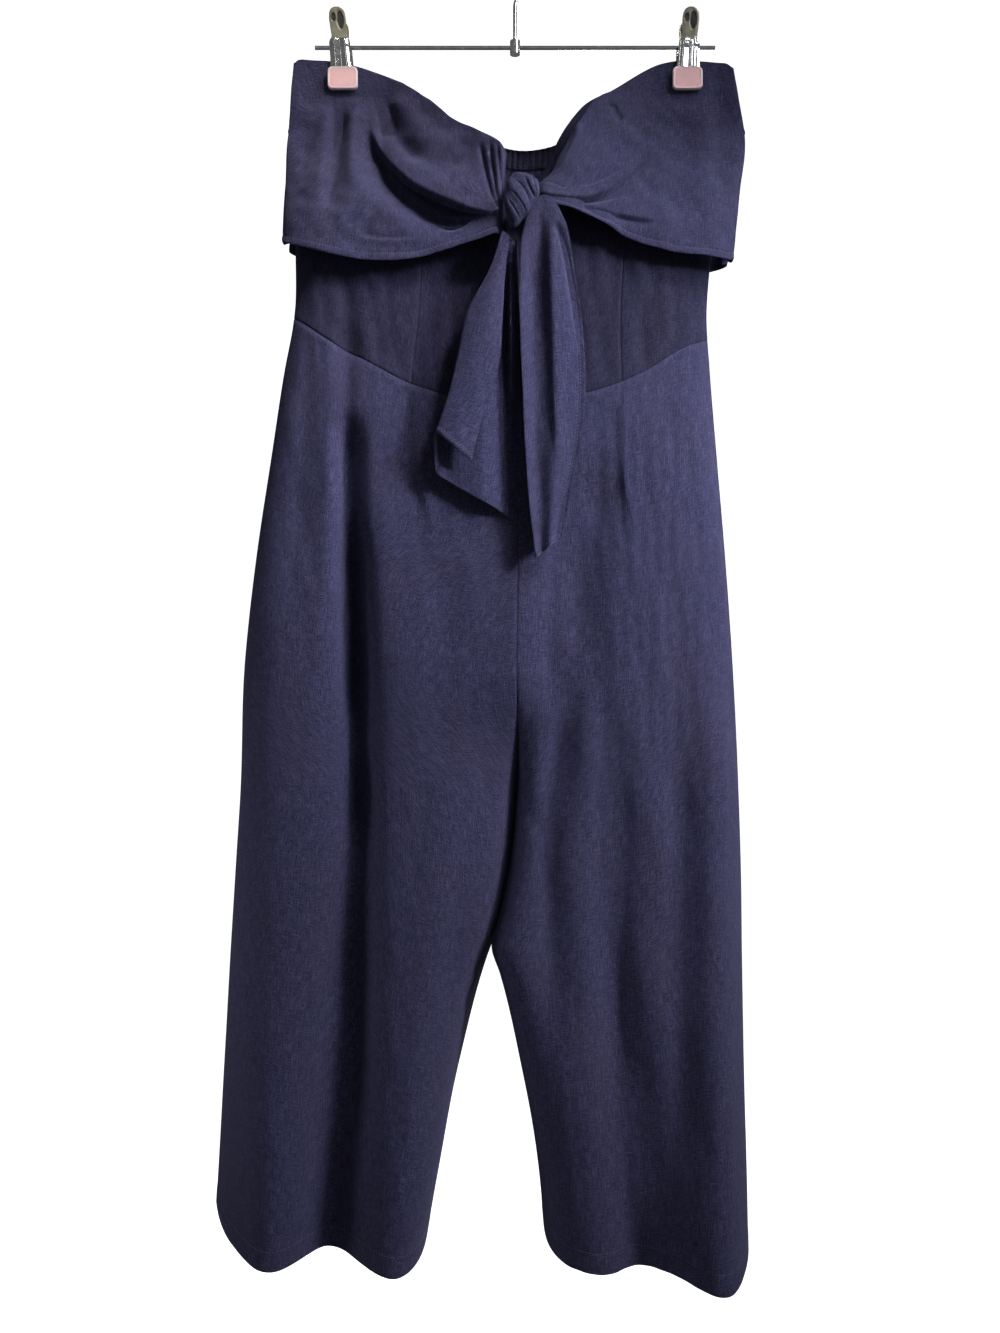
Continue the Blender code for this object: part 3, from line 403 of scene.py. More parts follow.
RIGHT_TAIL_CREASES = in_metres((
    (26, -300, 30, -400, 36, -520, 10, -1.2, 10, 1.4),
    (34.4, -300, 45, -330, 59, -410, 4, 4, 3, 4),
    (32, -298, 33.5, -360, 36, -450, 4, -2, 4, -2),
    (14, -330, 15, -430, 20, -560, 6, 1.8, 7, 1.8),
    (22.5, -292, 24, -330, 23.5, -380, 5, 1.4, 5, 1.4),
    (48, -420, 44, -480, 36, -560, 6, 1.6, 6, 1.6),
))
BAND_CREASES = {LEFT: LEFT_BAND_CREASES, RIGHT: RIGHT_BAND_CREASES}
# Darts below the waist seam: one in each front half and one in each back half.
DART_COLUMNS = ("x0", "z0", "x1", "z1")
DARTS = {
    (LEFT, FRONT): (-0.0935, -0.441, -0.0985, -0.545),
    (RIGHT, FRONT): (0.0995, -0.441, 0.1010, -0.572),
    (LEFT, BACK): (-0.1050, -0.381, -0.1080, -0.500),
    (RIGHT, BACK): (0.0960, -0.388, 0.0970, -0.505),
}

# ---------------------------------------------------------------- finer sizes of the sections
RIPPLE_WAVES, RIPPLE_SPREAD = 10, 0.8
CREASE_RISE, CREASE_START = 0.22, 0.1
FOLD_EARLY, FOLD_RISE, FOLD_TOP_WIDTH = 0.55, 3.0, 0.45
# How evenly columns lie: 1 is even, and less puts more of them at the sides.
COLUMN_EVEN, SECTION_EVEN, BAND_EVEN = 0.4, 0.35, 0.45
PART_FADE = 0.020
SLANT_RISE = 0.22
INNER_PART, OUTER_PART, OUTER_FADE = 0.45, 0.62, 0.5
CENTRE_HOLD, SIDE_HOLD = 6, 10
SEAM_SHARE, SIDE_SEAM_SHARE = 0.01, 0.004
BAND_FLARE, BAND_CLOSEST = 1.5, 0.0015
SPREAD_SAMPLES = 2000
SMALLEST = 1e-12
CLOTH_SHARP, KNOT_SHARP, THREAD_SHARP, PAD_SHARP = 50.0, 70.0, 80.0, 60.0

STITCH_REACH = 0.4
STITCH_SIDES = 5
STITCH_STATIONS = ((-1.0, 0.15), (-0.55, 1.0), (0.55, 1.0), (1.0, 0.15))
STITCH_TILT, STITCH_RISE, STITCH_SINK = 0.05, 0.3, 1.2
TROUSER_STITCH, BAND_STITCH, CASING_STITCH = 0.018, 0.0056, 0.0030
END_STITCH, END_LOWER_STITCH, END_SIDE_STITCHES = 0.0055, 0.0030, (0.0045, 0.0070)
# The part of an edge that is stitched.
BAND_STITCHED, END_STITCHED = (0.01, 0.72), (0.45, 0.97)

# Seeds of the random draws.
TROUSER_SEEDS, BODICE_SEED, BODICE_PUCKER_SEED, BODICE_BACK_SEED = 10, 41, 42, 43
GATHER_SPACING_SEED, GATHER_HEIGHT_SEED, BAND_SEED, BAND_WRINKLE_SEED = 51, 52, 61, 63
BAND_BACK_SEED, RIGHT_END_SEED, LEFT_END_SEED, STITCH_SEED = 71, 81, 83, 91

# Soft waves of the cloth: height, and typical size across and down.
TROUSER_WAVE, TROUSER_WRINKLE = (0.0013, 0.075, 0.420), (0.00042, 0.018, 0.070)
WAIST_PUCKER, WAIST_PUCKER_FADE = (0.0006, 0.018, 0.200), 0.035
BODICE_WAVE, BODICE_BACK_WAVE = (0.0010, 0.030, 0.100), (0.0007, 0.030, 0.150)
BODICE_PUCKER, BODICE_PUCKER_FADE = (0.0007, 0.014, 0.150), 0.045
BAND_WAVE, BAND_WRINKLE = (0.0012, 0.060, 0.090), (0.0005, 0.020, 0.030)
BAND_BACK_WAVE = (0.0008, 0.050, 0.120)
END_RIPPLE = (0.0004, 0.020, 0.080)
GATHER_SPACING, GATHER_UNEVENNESS = (0.9, 0.35, 1.0), (0.25, 0.12, 1.0)

# Grids: rows and columns. A piece's columns are spread along its section at the height given.
TROUSER_GRID, LEG_LENGTH, SHIN_Z, WAIST_Z = {FRONT: (172, 104), BACK: (112, 64)}, 0.83, -0.95, -0.42
BODICE_FRONT_ROWS, BODICE_FRONT_LENGTH, BODICE_FRONT_Z = 72, 0.28, -0.36
BODICE_FRONTS = {"side_left": (-1.0, PRINCESS_SEAMS[0], 50), "centre": (*PRINCESS_SEAMS, 80),
                 "side_right": (PRINCESS_SEAMS[1], 1.0, 50)}
BODICE_BACK_GRID, BODICE_BACK_LENGTH, BODICE_BACK_Z = (26, 300), 0.20, -0.30
CASING_ROWS, POINTS_A_GATHER = 10, 12
BAND_FRONT_GRID, BAND_FRONT_LENGTH, BAND_Z = (146, 158), 0.19, -0.25
BAND_BACK_GRID, BAND_BACK_LENGTH = (50, 180), 0.18
KNOT_GRID = (130, 150)
RIGHT_END_GRID, RIGHT_END_SIZE = (160, 64), (0.30, 0.055)
LEFT_END_ROWS = (124, 0.22)
JAW_GRID = (74, 33)

DART_DEPTH, DART_WIDTH, DART_FULLNESS, DART_FULL_WIDTH = 0.0010, 0.0010, 0.0008, 0.0060
DART_START, DART_TIP, DART_TIP_FADE, DART_END = 0.15, 0.8, 0.25, 1.2
UNDER_START, UNDER_FADE, LAP_START, LAP_FADE = 0.0009, 0.0012, 0.004, 0.006
COVER_START, COVER_FADE, COVER_SINK = 0.3, 0.030, 0.013
PINCH_RELEASE = 0.05
GATHER_GAP, GATHER_GAP_FADE, GATHER_SHARPNESS, GATHER_FADE = 0.010, 0.020, 0.8, 0.040
GATHER_HEIGHT = 1.7 * GATHER_DEPTH
BELOW_CASING = 0.9
CASING_FLATTER, CASING_BULGE, CASING_SCALLOP, BAND_GATHER = 0.25, 0.0009, 0.0006, 0.0008
ROLL_SAMPLES, ROLL_ROUNDS, ROLL_FINE_ROWS = 60, 4, 6
ROLL_ROW_STEP, ROLL_ROW_GAP, ROLL_ROW_TOUCH = 0.0024, 0.017, 0.0001
LIP_START, LIP_START_FADE, LIP_END_FADE, LIP_HEIGHT = 0.008, 0.040, 0.030, 0.009
BAND_FREE = 0.030
INTO_KNOT_WIDTH, INTO_KNOT_FADE = 0.014, 0.02
KNOT_CALM, KNOT_CALM_FADE = 0.020, 0.040

KNOT_TOP_SQUARENESS, KNOT_FRONT_SQUARENESS = 0.82, 0.62
KNOT_WAVES, KNOT_WAVE_UP, KNOT_WAVE_ACROSS, KNOT_WAVE_HEIGHT = 3.0, 0.5, 0.22, 0.0006
KNOT_THREAD_SLOPE, KNOT_THREAD_PITCH, KNOT_THREAD_DEPTH = (0.92, 0.40), 0.0017, 0.00012
KNOT_FRONT_FADE = 0.5
ARCH_END, END_WAVES, END_WAVE_DRIFT, END_TILT = 0.3, 1.5, 1.2, 0.004
END_WAVE_RISE, END_RISE = 4.0, 3.0
# Columns of the left end: the front layer's, the fold's and the layer's behind.
FRONT_EDGE_SHARE, FRONT_START, FRONT_COLUMNS = 0.04, 0.12, 34
TURN_COLUMNS, BEHIND_END, BEHIND_COLUMNS, BEHIND_EDGE_SHARE = 9, 0.93, 52, 0.07
FRONT_BELLY, FRONT_SINK, TURN_OUT = 0.004, 0.0010, 0.0022
BEHIND_WAVE, BEHIND_WAVES, BEHIND_DROP_X, BEHIND_DROP_FADE = 0.0018, 2.5, -0.034, 0.030
STRIP_START, STRIP_END = 0.3, 0.7

NECK_TOP, HOOK_ARC = -0.060, math.radians(200.0)
NECK_STEPS, BEND_STEPS, ARC_STEPS, BAR_POINTS, TUBE_ROUNDNESS = 4, 12, 48, 9, 6
TONGUE_ROUND, TONGUE_END, TONGUE_HALF = 0.007, 0.0072, 0.0078
TONGUE_WIDTH, TONGUE_DISH = 0.55, 0.0007
SLEEVE_TOP, SLEEVE_FADE, JAW_CROWN, JAW_WALL = -0.0975, 0.004, 0.0010, 0.0009
RIB_HEIGHT, RIB_PLACE, RIB_WIDTH, GROOVE_DEPTH, GROOVE_WIDTH = 0.0011, 0.52, 0.20, 0.0006, 0.16
STEP_HEIGHT, STEP_TOP, STEP_TOP_FADE = 0.0009, -0.0965, 0.0016
STEP_LOW, STEP_LOW_FADE = -0.1010, 0.0030
HOLLOW_DEPTH, HOLLOW_START, HOLLOW_FADE = 0.0014, 0.80, 0.40
SPRING_TURNS, SPRING_STEPS = 6, 20
SPRING_LENGTH, SPRING_RADIUS, SPRING_WIRE = 0.0136, 0.0038, 0.0006
PAD_CORNER, PAD_CORNER_STEPS, PAD_RIM_LOOPS = 0.0042, 8, 7
# Loops of the pad: share of its outline's size, and how far out of its middle plane.
PAD_LOOPS = ((0.90, -0.50), (0.965, -0.46), (1.0, -0.34), (1.0, 0.30), (0.985, 0.42), (0.95, 0.49),
             (0.90, 0.50), (0.87, 0.47), (0.855, 0.43), (0.80, 0.44), (0.50, 0.47), (0.20, 0.48))

# ---------------------------------------------------------------- materials' values
# Streaks of the weave: size across and down, and the range of the noise that shows.
WARP, WEFT, FLECK = (0.7 * MM, 13.0 * MM), (9.0 * MM, 0.7 * MM), (0.9 * MM, 0.9 * MM)
BLOTCH = (70.0 * MM, 110.0 * MM)
WARP_RANGE, WEFT_RANGE = (0.47, 0.76), (0.50, 0.76)
FLECK_RANGE, BLOTCH_RANGE = (0.40, 0.74), (0.38, 0.66)
STREAK_DETAIL, BLOTCH_DETAIL, STREAK_ROUGHNESS = 1.5, 3.0, 0.65
SLUB_SHARE, FLECK_SHARE = 0.50, 0.40
WEAVE_PITCH, WOVEN_HEIGHT = 0.62 * MM, 0.35
LINEN_ROUGHNESS, RUBBER_ROUGHNESS = (0.93, 0.78), (0.58, 0.76)
LINEN_BUMP, THREAD_BUMP = (0.55, 0.25 * MM), (0.4, 0.1 * MM)
CHROME_BUMP, RUBBER_BUMP = (0.05, 0.05 * MM), (0.12, 0.08 * MM)
# Noises: scale and detail.
THREAD_NOISE, FINE_NOISE, CLOUDY_NOISE = (900.0, 2.0), (1.0, 2.0), (160.0, 3.0)
MARBLE_NOISE, GRAIN_NOISE = (190.0, 4.0), (1400.0, 2.0)
WIPING, DULLER, CHROME_SHADE = (2600.0, 2600.0, 120.0), 0.16, 0.78
PATCH_RANGE, CLOUD_RANGE = (0.1, 0.5), (0.3, 0.7)

# ---------------------------------------------------------------- view and light
PHOTO_HEIGHT = 1333
CAMERA_PLACE = (-0.0147, -1.15, -0.7066)
METRES_A_PIXEL = 0.00098
SENSOR = 36.0
CLIP_START = 0.05
WHITE, COOL, WARM = (1.0, 1.0, 1.0), (0.95, 0.99, 1.06), (1.05, 1.0, 0.90)
WORLD_COLOUR, WORLD_STRENGTH = (0.92, 0.95, 1.0, 1.0), 0.15
# Lamps: name, place, aimed at, size, power, beam in degrees, colour.
LAMPS = (
    ("key", (1.00, -1.10, 0.55), (0.00, 0.0, -0.45), 0.50, 0.68, 60.0, COOL),
    ("high_band", (0.95, -0.75, 0.85), (0.00, 0.0, -0.20), 0.30, 0.10, 24.0, WHITE),
    ("high_right", (0.95, -0.75, 0.85), (0.24, 0.0, -0.48), 0.30, 0.56, 17.0, COOL),
    ("high_left", (0.62, -1.05, 1.00), (-0.25, 0.0, -0.20), 0.40, 0.42, 16.0, WARM),
    ("high_hip", (0.75, -1.00, 0.90), (-0.24, 0.0, -0.52), 0.30, 0.26, 14.0, WHITE),
    ("side_hip", (1.25, -0.85, 0.10), (-0.26, 0.0, -0.52), 0.40, 0.80, 22.0, COOL),
    ("side_legs", (1.25, -0.85, 0.10), (0.05, 0.0, -1.00), 0.40, 1.60, 36.0, WHITE),
    ("left_edge", (-1.30, -0.50, -0.60), (-0.30, 0.0, -0.95), 0.40, 0.35, 40.0, WHITE),
    ("back", (0.7, 1.9, 0.3), (0.0, 0.0, -0.5), 1.20, 30.0, 180.0, WHITE),
)
# Strip lights whose reflections draw the bright lines on the clips: name, place, aimed at, width,
# height, power.
STRIPS = (
    ("strip_left", (-0.50, -1.30, 0.10), (-0.10, 0.0, -0.10), 0.06, 1.1, 1.0),
    ("strip_right", (0.70, -1.20, 0.10), (0.10, 0.0, -0.10), 0.05, 1.1, 0.8),
    ("strip_low", (0.00, -1.90, -0.60), (0.0, 0.0, -0.10), 1.60, 0.9, 0.25),
)
FLOOR_Z = -1.90
FLOOR_RADII, WALL_HEIGHTS, FLOOR_AROUND = (0.0, 1.2, 2.4, 3.4), (0.5, 3.0, 7.0), 72
COVE, COVE_START, COVE_STEPS = 1.2, 0.15, 9


# ---------------------------------------------------------------- arithmetic
def smooth(value):
    """0 below 0, 1 above 1 and an even S between them."""
    value = np.clip(value, 0.0, 1.0)
    return value * value * (3.0 - 2.0 * value)


def bell(distance, width):
    """1 at no distance, dying away over width."""
    return np.exp(-(distance / width) ** 2)


def blend(first, second, share):
    return first + (second - first) * share


def read(table, columns, name, place):
    """A column of a table at any place, on a smooth curve through the rows."""
    rows = np.array(table)
    rows = rows[np.argsort(rows[:, 0])]
    places = rows[:, 0]
    values = rows[:, columns.index(name)]
    slopes = np.gradient(values, places)
    place = np.clip(np.asarray(place, dtype=float), places[0], places[-1])
    low = np.clip(np.searchsorted(places, place) - 1, 0, len(places) - 2)
    step = places[low + 1] - places[low]
    t = (place - places[low]) / step
    start = (1 + 2 * t) * (1 - t) ** 2 * values[low] + t * (1 - t) ** 2 * step * slopes[low]
    end = t * t * (3 - 2 * t) * values[low + 1] + t * t * (t - 1) * step * slopes[low + 1]
    return start + end


def body(name, z):
    return read(BODY, BODY_COLUMNS, name, z)


def legs(name, z):
    return read(LEGS, LEG_COLUMNS, name, z)


def edge(name, across):
    return read(EDGES, EDGE_COLUMNS, name, across)


def band_edge(name, across):
    return read(BAND_EDGES, BAND_EDGE_COLUMNS, name, across)


def band_x(across, z):
    ends = [read(BAND, BAND_COLUMNS, name, z) for name in ("left_x", "right_x")]
    return blend(*ends, (across + 1.0) / 2.0)


def bulge(across, squareness):
    """1 in the middle of a flattened round section and 0 at its two sides."""
    inside = np.clip(1.0 - np.abs(across) ** squareness, 0.0, 1.0)
    return inside ** (1.0 / squareness)


def bezier(first, middle, last, t):
    return first * (1 - t) ** 2 + 2 * middle * t * (1 - t) + last * t * t


def through(first, middle, last, t):
    """A smooth line through three places, which passes the middle one half way."""
    return bezier(first, 2.0 * middle - (first + last) / 2.0, last, t)


def stack(x, y, z):
    return np.stack(np.broadcast_arrays(x, y, z), axis=-1)


def ripple(x, z, seed, height, across, down):
    """Slight uneven waves of soft cloth, about as high as height, of a typical size each way."""
    draw = np.random.default_rng(seed)
    total = np.zeros(np.broadcast(x, z).shape)
    for _ in range(RIPPLE_WAVES):
        turns_x, turns_z = draw.normal(0.0, RIPPLE_SPREAD, 2)
        phase = draw.uniform(0.0, 2.0 * math.pi)
        total = total + np.sin(2.0 * math.pi * (turns_x * x / across + turns_z * z / down) + phase)
    return height * (total / math.sqrt(RIPPLE_WAVES))


def crease_line(row, steps):
    """A row of a crease table by name, and the places along its line."""
    crease = dict(zip(CREASE_COLUMNS, row))
    line_x = through(crease["x0"], crease["x1"], crease["x2"], steps)
    line_z = through(crease["z0"], crease["z1"], crease["z2"], steps)
    return crease, line_x, line_z


def crease_push(rows, x, z, step=CREASE_STEP):
    """How far the creases of a table push each point of the cloth in."""
    push = np.zeros(np.broadcast(x, z).shape)
    steps = np.linspace(0.0, 1.0, CREASE_SAMPLES)
    for row in rows:
        crease, line_x, line_z = crease_line(row, steps)
        gap_x = x[..., None] - line_x
        gap_z = z[..., None] - line_z
        nearest = np.argmin(gap_x ** 2 + gap_z ** 2, axis=-1)
        near_x = np.take_along_axis(gap_x, nearest[..., None], -1)[..., 0]
        near_z = np.take_along_axis(gap_z, nearest[..., None], -1)[..., 0]
        ahead_x, ahead_z = np.gradient(line_x), np.gradient(line_z)
        stride = np.hypot(ahead_x, ahead_z)
        ahead_x, ahead_z = (ahead_x / stride)[nearest], (ahead_z / stride)[nearest]
        hand = ahead_x * near_z - ahead_z * near_x
        ahead = ahead_x * near_x + ahead_z * near_z
        past_end = np.where(nearest == 0, np.maximum(-ahead, 0.0), 0.0)
        past_end = np.where(nearest == CREASE_SAMPLES - 1, np.maximum(ahead, 0.0), past_end)
        distance = np.hypot(hand, past_end)
        left = crease["left_depth"] * bell(distance, crease["left_width"])
        right = crease["right_depth"] * bell(distance, crease["right_width"])
        along = np.clip(steps[nearest] + ahead / stride[nearest] / (CREASE_SAMPLES - 1), 0.0, 1.0)
        start = smooth(along / CREASE_RISE + CREASE_START)
        end = smooth((1.0 - along) / CREASE_RISE + CREASE_START)
        push += start * end * blend(right, left, smooth(0.5 + hand / (2.0 * step)))
    return push


# ---------------------------------------------------------------- the hanging shell, as in the CAD
def clip_gap(x):
    return np.minimum(np.abs(x - CLIP_X[0]), np.abs(x - CLIP_X[1]))


def pinched_y(side, x):
    bow = 0.5 + 0.5 * np.cos(math.pi * np.clip(x / PINCH_SPREAD, -1.0, 1.0))
    return side * (LAYER_Y + NECK_BOW[side] * bow)


def body_point(side, across, z):
    """x and y on the bodice or the hips; across is -1 at the left side seam and 1 at the right."""
    share = (across + 1.0) / 2.0
    x = blend(body("left_x", z), body("right_x", z), share)
    seam_y = blend(body("left_y", z), body("right_y", z), share)
    reach = body(SIDE_NAMES[side] + "_y", z)
    y = seam_y + (reach - seam_y) * bulge(across, BODY_SQUARENESS[side])
    return x, blend(pinched_y(side, x), y, smooth((PINCH_Z - z) / PINCH_FADE))


def fold_push(leg, side, x, z):
    """How far the long folds of one side of one leg push it in."""
    push = np.zeros_like(x)
    for row in FOLDS:
        fold = dict(zip(FOLD_COLUMNS, row))
        if (fold["leg"], fold["side"]) != (leg, side):
            continue
        down = np.clip((fold["top_z"] - z) / (fold["top_z"] - HEM_Z), 0.0, 1.0)
        centre = bezier(fold["top_x"], fold["middle_x"], fold["hem_x"], down)
        width = np.where(x < centre, fold["left_width"], fold["right_width"])
        early = FOLD_EARLY * smooth(down * FOLD_RISE) * down
        depth = fold["depth"] * (early + (1.0 - FOLD_EARLY) * down ** 2)
        push += depth * bell(x - centre, width * blend(FOLD_TOP_WIDTH, 1.0, down))
    return push


def trouser_across(leg, s, z, seam_half=0.0):
    """The place across of a trouser half's columns; s is 0 at the side and 1 at the centre."""
    middle = (body("left_x", z) + body("right_x", z)) / 2.0
    half = (body("right_x", z) - body("left_x", z)) / 2.0
    centre = (body("centre_x", z) + leg * seam_half - middle) / half
    return leg + (centre - leg) * (COLUMN_EVEN * s + (1.0 - COLUMN_EVEN) * s * s)


def leg_point(leg, side, s, z, seam_half):
    """x and y on the round section of one leg."""
    name = LEG_NAMES[leg]
    outer_x, outer_y = body(name + "_x", z), body(name + "_y", z)
    between = (legs("left_x", z) + legs("right_x", z)) / 2.0
    touching = smooth((z - LEGS_PART_Z) / PART_FADE)
    inner_x = blend(legs(name + "_x", z), between + leg * seam_half, touching)
    inner_y = legs("inner_y", z)
    reach = legs(f"{name}_{SIDE_NAMES[side]}_y", z)
    round_trip = SECTION_EVEN * (2.0 * s - 1.0) - (1.0 - SECTION_EVEN) * np.cos(math.pi * s)
    share = (round_trip + 1.0) / 2.0
    seam_y = blend(outer_y, inner_y, share)
    x = blend(outer_x, inner_x, share)
    below = np.clip((CROTCH_Z - z) / (CROTCH_Z - HEM_Z), 0.0, 1.0)
    hem_outer, hem_inner = HEM_SQUARENESS[leg]
    squareness = blend(HIP_SQUARENESS[side], np.where(share < 0.5, hem_outer, hem_inner), below)
    y = seam_y + (reach - seam_y) * bulge(round_trip, squareness)
    slant = LEG_SLANT * smooth((z - SLANT_END_Z) / SLANT_RISE)
    x = x + slant * (y - inner_y) * smooth((share - INNER_PART) / INNER_PART)
    lean = OUTER_SLANT[leg] * np.clip((OUTER_SLANT_Z - z) / (OUTER_SLANT_Z - HEM_Z), 0.0, 1.0)
    x = x - leg * lean * np.minimum(y - outer_y, 0.0) * -smooth((OUTER_PART - share) / OUTER_FADE)
    return x, y


def trouser_point(leg, side, s, z):
    """x and y on a trouser half; s is 0 at the side seam and 1 at the centre seam or inseam."""
    seam_half = SEAM_HALF if side == FRONT else BACK_SEAM_HALF
    hip_x, hip_y = body_point(side, trouser_across(leg, s, z, seam_half), z)
    leg_x, leg_y = leg_point(leg, side, s, z, seam_half)
    legness = smooth((CROTCH_CURVE_Z - z) / (CROTCH_CURVE_Z - CROTCH_Z))
    x = blend(hip_x, leg_x, legness)
    y = blend(hip_y, leg_y, legness)
    hold = (1.0 - s ** CENTRE_HOLD) * (1.0 - (1.0 - s) ** SIDE_HOLD)
    y = y - side * fold_push(leg, side, x, z) * hold
    at_seam = bell(s, SEAM_SHARE) + bell(1.0 - s, SEAM_SHARE) * legness
    return x, y - SEAM_HALF * at_seam


def band_point(side, across, z, down, creases):
    """x and y on the band, which lies outside the bodice and stands off towards its hem."""
    x = band_x(across, z)
    y = body_point(side, across, z)[1]
    beside_clips = smooth((clip_gap(x) - HELD_HALF) / HELD_FADE)
    held = (1.0 - beside_clips) * (1.0 - smooth((HELD_Z - z) / HELD_Z_FADE))
    standoff = BAND_STEP_OUT[side] + BAND_STANDOFF * down ** BAND_FLARE
    if side == FRONT:
        standoff = standoff + KNOT_PULL * bell(x - KNOT_CENTRE[0], KNOT_PULL_WIDTH)
    into = BAND_SINK * smooth((SINK_Z - z) / SINK_FADE)
    standoff = np.maximum(standoff - crease_push(creases, x, z), BAND_CLOSEST - into)
    return x, y + side * (BAND_LAYER + standoff * (1.0 - held))


# ---------------------------------------------------------------- sheets of cloth
def spread(count, curve):
    """Shares from 0 to 1 that lie evenly along a curve, and close together at its two ends."""
    fine = np.linspace(0.0, 1.0, SPREAD_SAMPLES)
    strides = np.linalg.norm(np.diff(curve(fine), axis=0), axis=1)
    gone = np.concatenate([[0.0], np.cumsum(strides)])
    near = np.array(EDGE_STEPS)
    middle = np.linspace(near[-1], gone[-1] - near[-1], count)[1:-1]
    return np.interp(np.concatenate([near, middle, gone[-1] - near[::-1]]), gone, fine)


def spread_length(count, length):
    return spread(count, lambda share: stack(0.0, 0.0, share * length))


def spread_section(count, point, z):
    """Shares across a piece, spread along its section at one height."""
    return spread(count, lambda share: stack(*point(share, np.full_like(share, z)), z))


def grid_normals(points):
    normals = np.cross(np.gradient(points, axis=1), np.gradient(points, axis=0))
    return normals / np.maximum(np.linalg.norm(normals, axis=2, keepdims=True), SMALLEST)


def outward_normals(points, out):
    """Unit normals of a grid of points, on the side that faces out."""
    normals = grid_normals(points)
    facing = np.sum(normals @ np.array(out, dtype=float))
    return normals if facing > 0.0 else -normals


def edge_distance(points, border):
    """How far each point of a grid lies from one border, along the cloth."""
    axis = 0 if border in ("top", "bottom") else 1
    strides = np.linalg.norm(np.diff(points, axis=axis), axis=2)
    start = np.zeros((1, points.shape[1]) if axis == 0 else (points.shape[0], 1))
    gone = np.concatenate([start, np.cumsum(strides, axis=axis)], axis=axis)
    if border == "bottom":
        gone = gone[-1:, :] - gone
    if border == "right":
        gone = gone[:, -1:] - gone
    return gone


def inset(field, gone, border, distance):
    """A field of the cloth along a line that keeps its distance from one border."""
    if border in ("left", "right"):
        field, gone = np.swapaxes(field, 0, 1), gone.T
    line = []
    for column in range(gone.shape[1]):
        order = np.argsort(gone[:, column])
        line.append([np.interp(distance, gone[order, column], field[order, column, k])
                     for k in range(3)])
    return np.array(line)


def add_border(grid, line, border):
    """The grid with one more line of points past a border."""
    axis = 0 if border in ("top", "bottom") else 1
    line = np.expand_dims(line, axis)
    parts = [line, grid] if border in ("top", "left") else [grid, line]
    return np.concatenate(parts, axis=axis)


class Sheet:
    """One piece of cloth: its grid of middle points, its normals and what lies on it."""

    def __init__(self, name, points, out, borders, stitched=()):
        self.name = name
        self.points = points.copy()
        self.normals = outward_normals(points, out)
        self.gone = {border: edge_distance(points, border)
                     for border in ("top", "bottom", "left", "right")}
        for border, finish in borders.items():
            roll = finish["roll"] * bell(self.gone[border], finish["width"])
            self.points -= self.normals * roll[..., None]
        for border, distance in stitched:
            past = (self.gone[border] - distance) / STITCH_GROOVE_WIDTH
            raised = DOUBLE_LAYER * (1.0 - smooth(past + 0.5)) - STITCH_GROOVE * bell(past, 1.0)
            self.points += self.normals * raised[..., None]
        self.normals = outward_normals(self.points, out)
        self.object = self.build(borders)

    def build(self, borders):
        grid = self.points
        extra = {}
        for border, finish in borders.items():
            lines = [(behind, *self.line(border, back)) for back, behind in finish["turns"]]
            extra[border] = [place - behind * normal for behind, place, normal in lines]
        for border in ("left", "right", "top", "bottom"):
            for line in extra.get(border, ()):
                whole = grid.shape[1] if border in ("top", "bottom") else grid.shape[0]
                missing = whole - len(line)
                if missing:
                    before = len(extra.get("left", ()))
                    line = np.pad(line, ((before, missing - before), (0, 0)), mode="edge")
                grid = add_border(grid, line, border)
        return wall(self.name, grid, CLOTH_WALL)

    def line(self, border, distance):
        """Places and normals along a line that keeps its distance from one border."""
        gone = self.gone[border]
        return (inset(self.points, gone, border, distance),
                inset(self.normals, gone, border, distance))


def cloth_lengths(grid):
    """Each point's distance across and down the cloth, for the weave."""
    across = edge_distance(grid, "left")
    down = edge_distance(grid, "top")
    middle = grid.shape[1] // 2
    return np.stack([across - across[:, middle:middle + 1], down], axis=-1).reshape(-1, 2)


def grid_corners(grid):
    """The numbers of a grid's points, and the four corners of each of its cells."""
    index = np.arange(grid.shape[0] * grid.shape[1]).reshape(grid.shape[:2])
    upper = index[:-1, :-1].ravel(), index[:-1, 1:].ravel()
    lower = index[1:, 1:].ravel(), index[1:, :-1].ravel()
    return index, *upper, *lower


def wall(name, grid, thickness):
    """A closed thin wall on both sides of a grid of middle points."""
    normals = grid_normals(grid)
    index, a, b, c, d = grid_corners(grid)
    count = index.size
    vertices = np.concatenate([(grid + normals * thickness / 2.0).reshape(-1, 3),
                               (grid - normals * thickness / 2.0).reshape(-1, 3)])
    rim = np.concatenate([index[0, :-1], index[:-1, -1], index[-1, :0:-1], index[:0:-1, 0]])
    after = np.roll(rim, -1)
    faces = np.concatenate([
        np.stack([a, b, c, d], axis=1),
        np.stack([a, d, c, b], axis=1) + count,
        np.stack([after, rim, rim + count, after + count], axis=1)])
    weave = cloth_lengths(grid)
    return add_mesh(name, vertices, faces, np.concatenate([weave, weave]))


def add_object(name, data):
    made = bpy.data.objects.new(name, data)
    bpy.context.scene.collection.objects.link(made)
    return made


def add_mesh(name, vertices, faces, weave=None, sharp=CLOTH_SHARP):
    """A smooth-shaded mesh whose faces all look out, with the weave's lengths as its UV map."""
    mesh = bpy.data.meshes.new(name)
    mesh.from_pydata(vertices.tolist(), [], faces.tolist())
    first, second, third = (vertices[faces[:, corner]] for corner in range(3))
    volume = np.sum(first * np.cross(second, third))
    if faces.shape[1] == 4:
        volume += np.sum(first * np.cross(third, vertices[faces[:, 3]]))
    if volume < 0.0:
        mesh.flip_normals()
    if weave is not None:
        layer = mesh.uv_layers.new(name="weave")
        corners = np.zeros(len(mesh.loops), dtype=np.int32)
        mesh.loops.foreach_get("vertex_index", corners)
        layer.data.foreach_set("uv", weave[corners].astype(np.float32).ravel())
    mesh.shade_smooth()
    mesh.set_sharp_from_angle(angle=math.radians(sharp))
    return add_object(name, mesh)


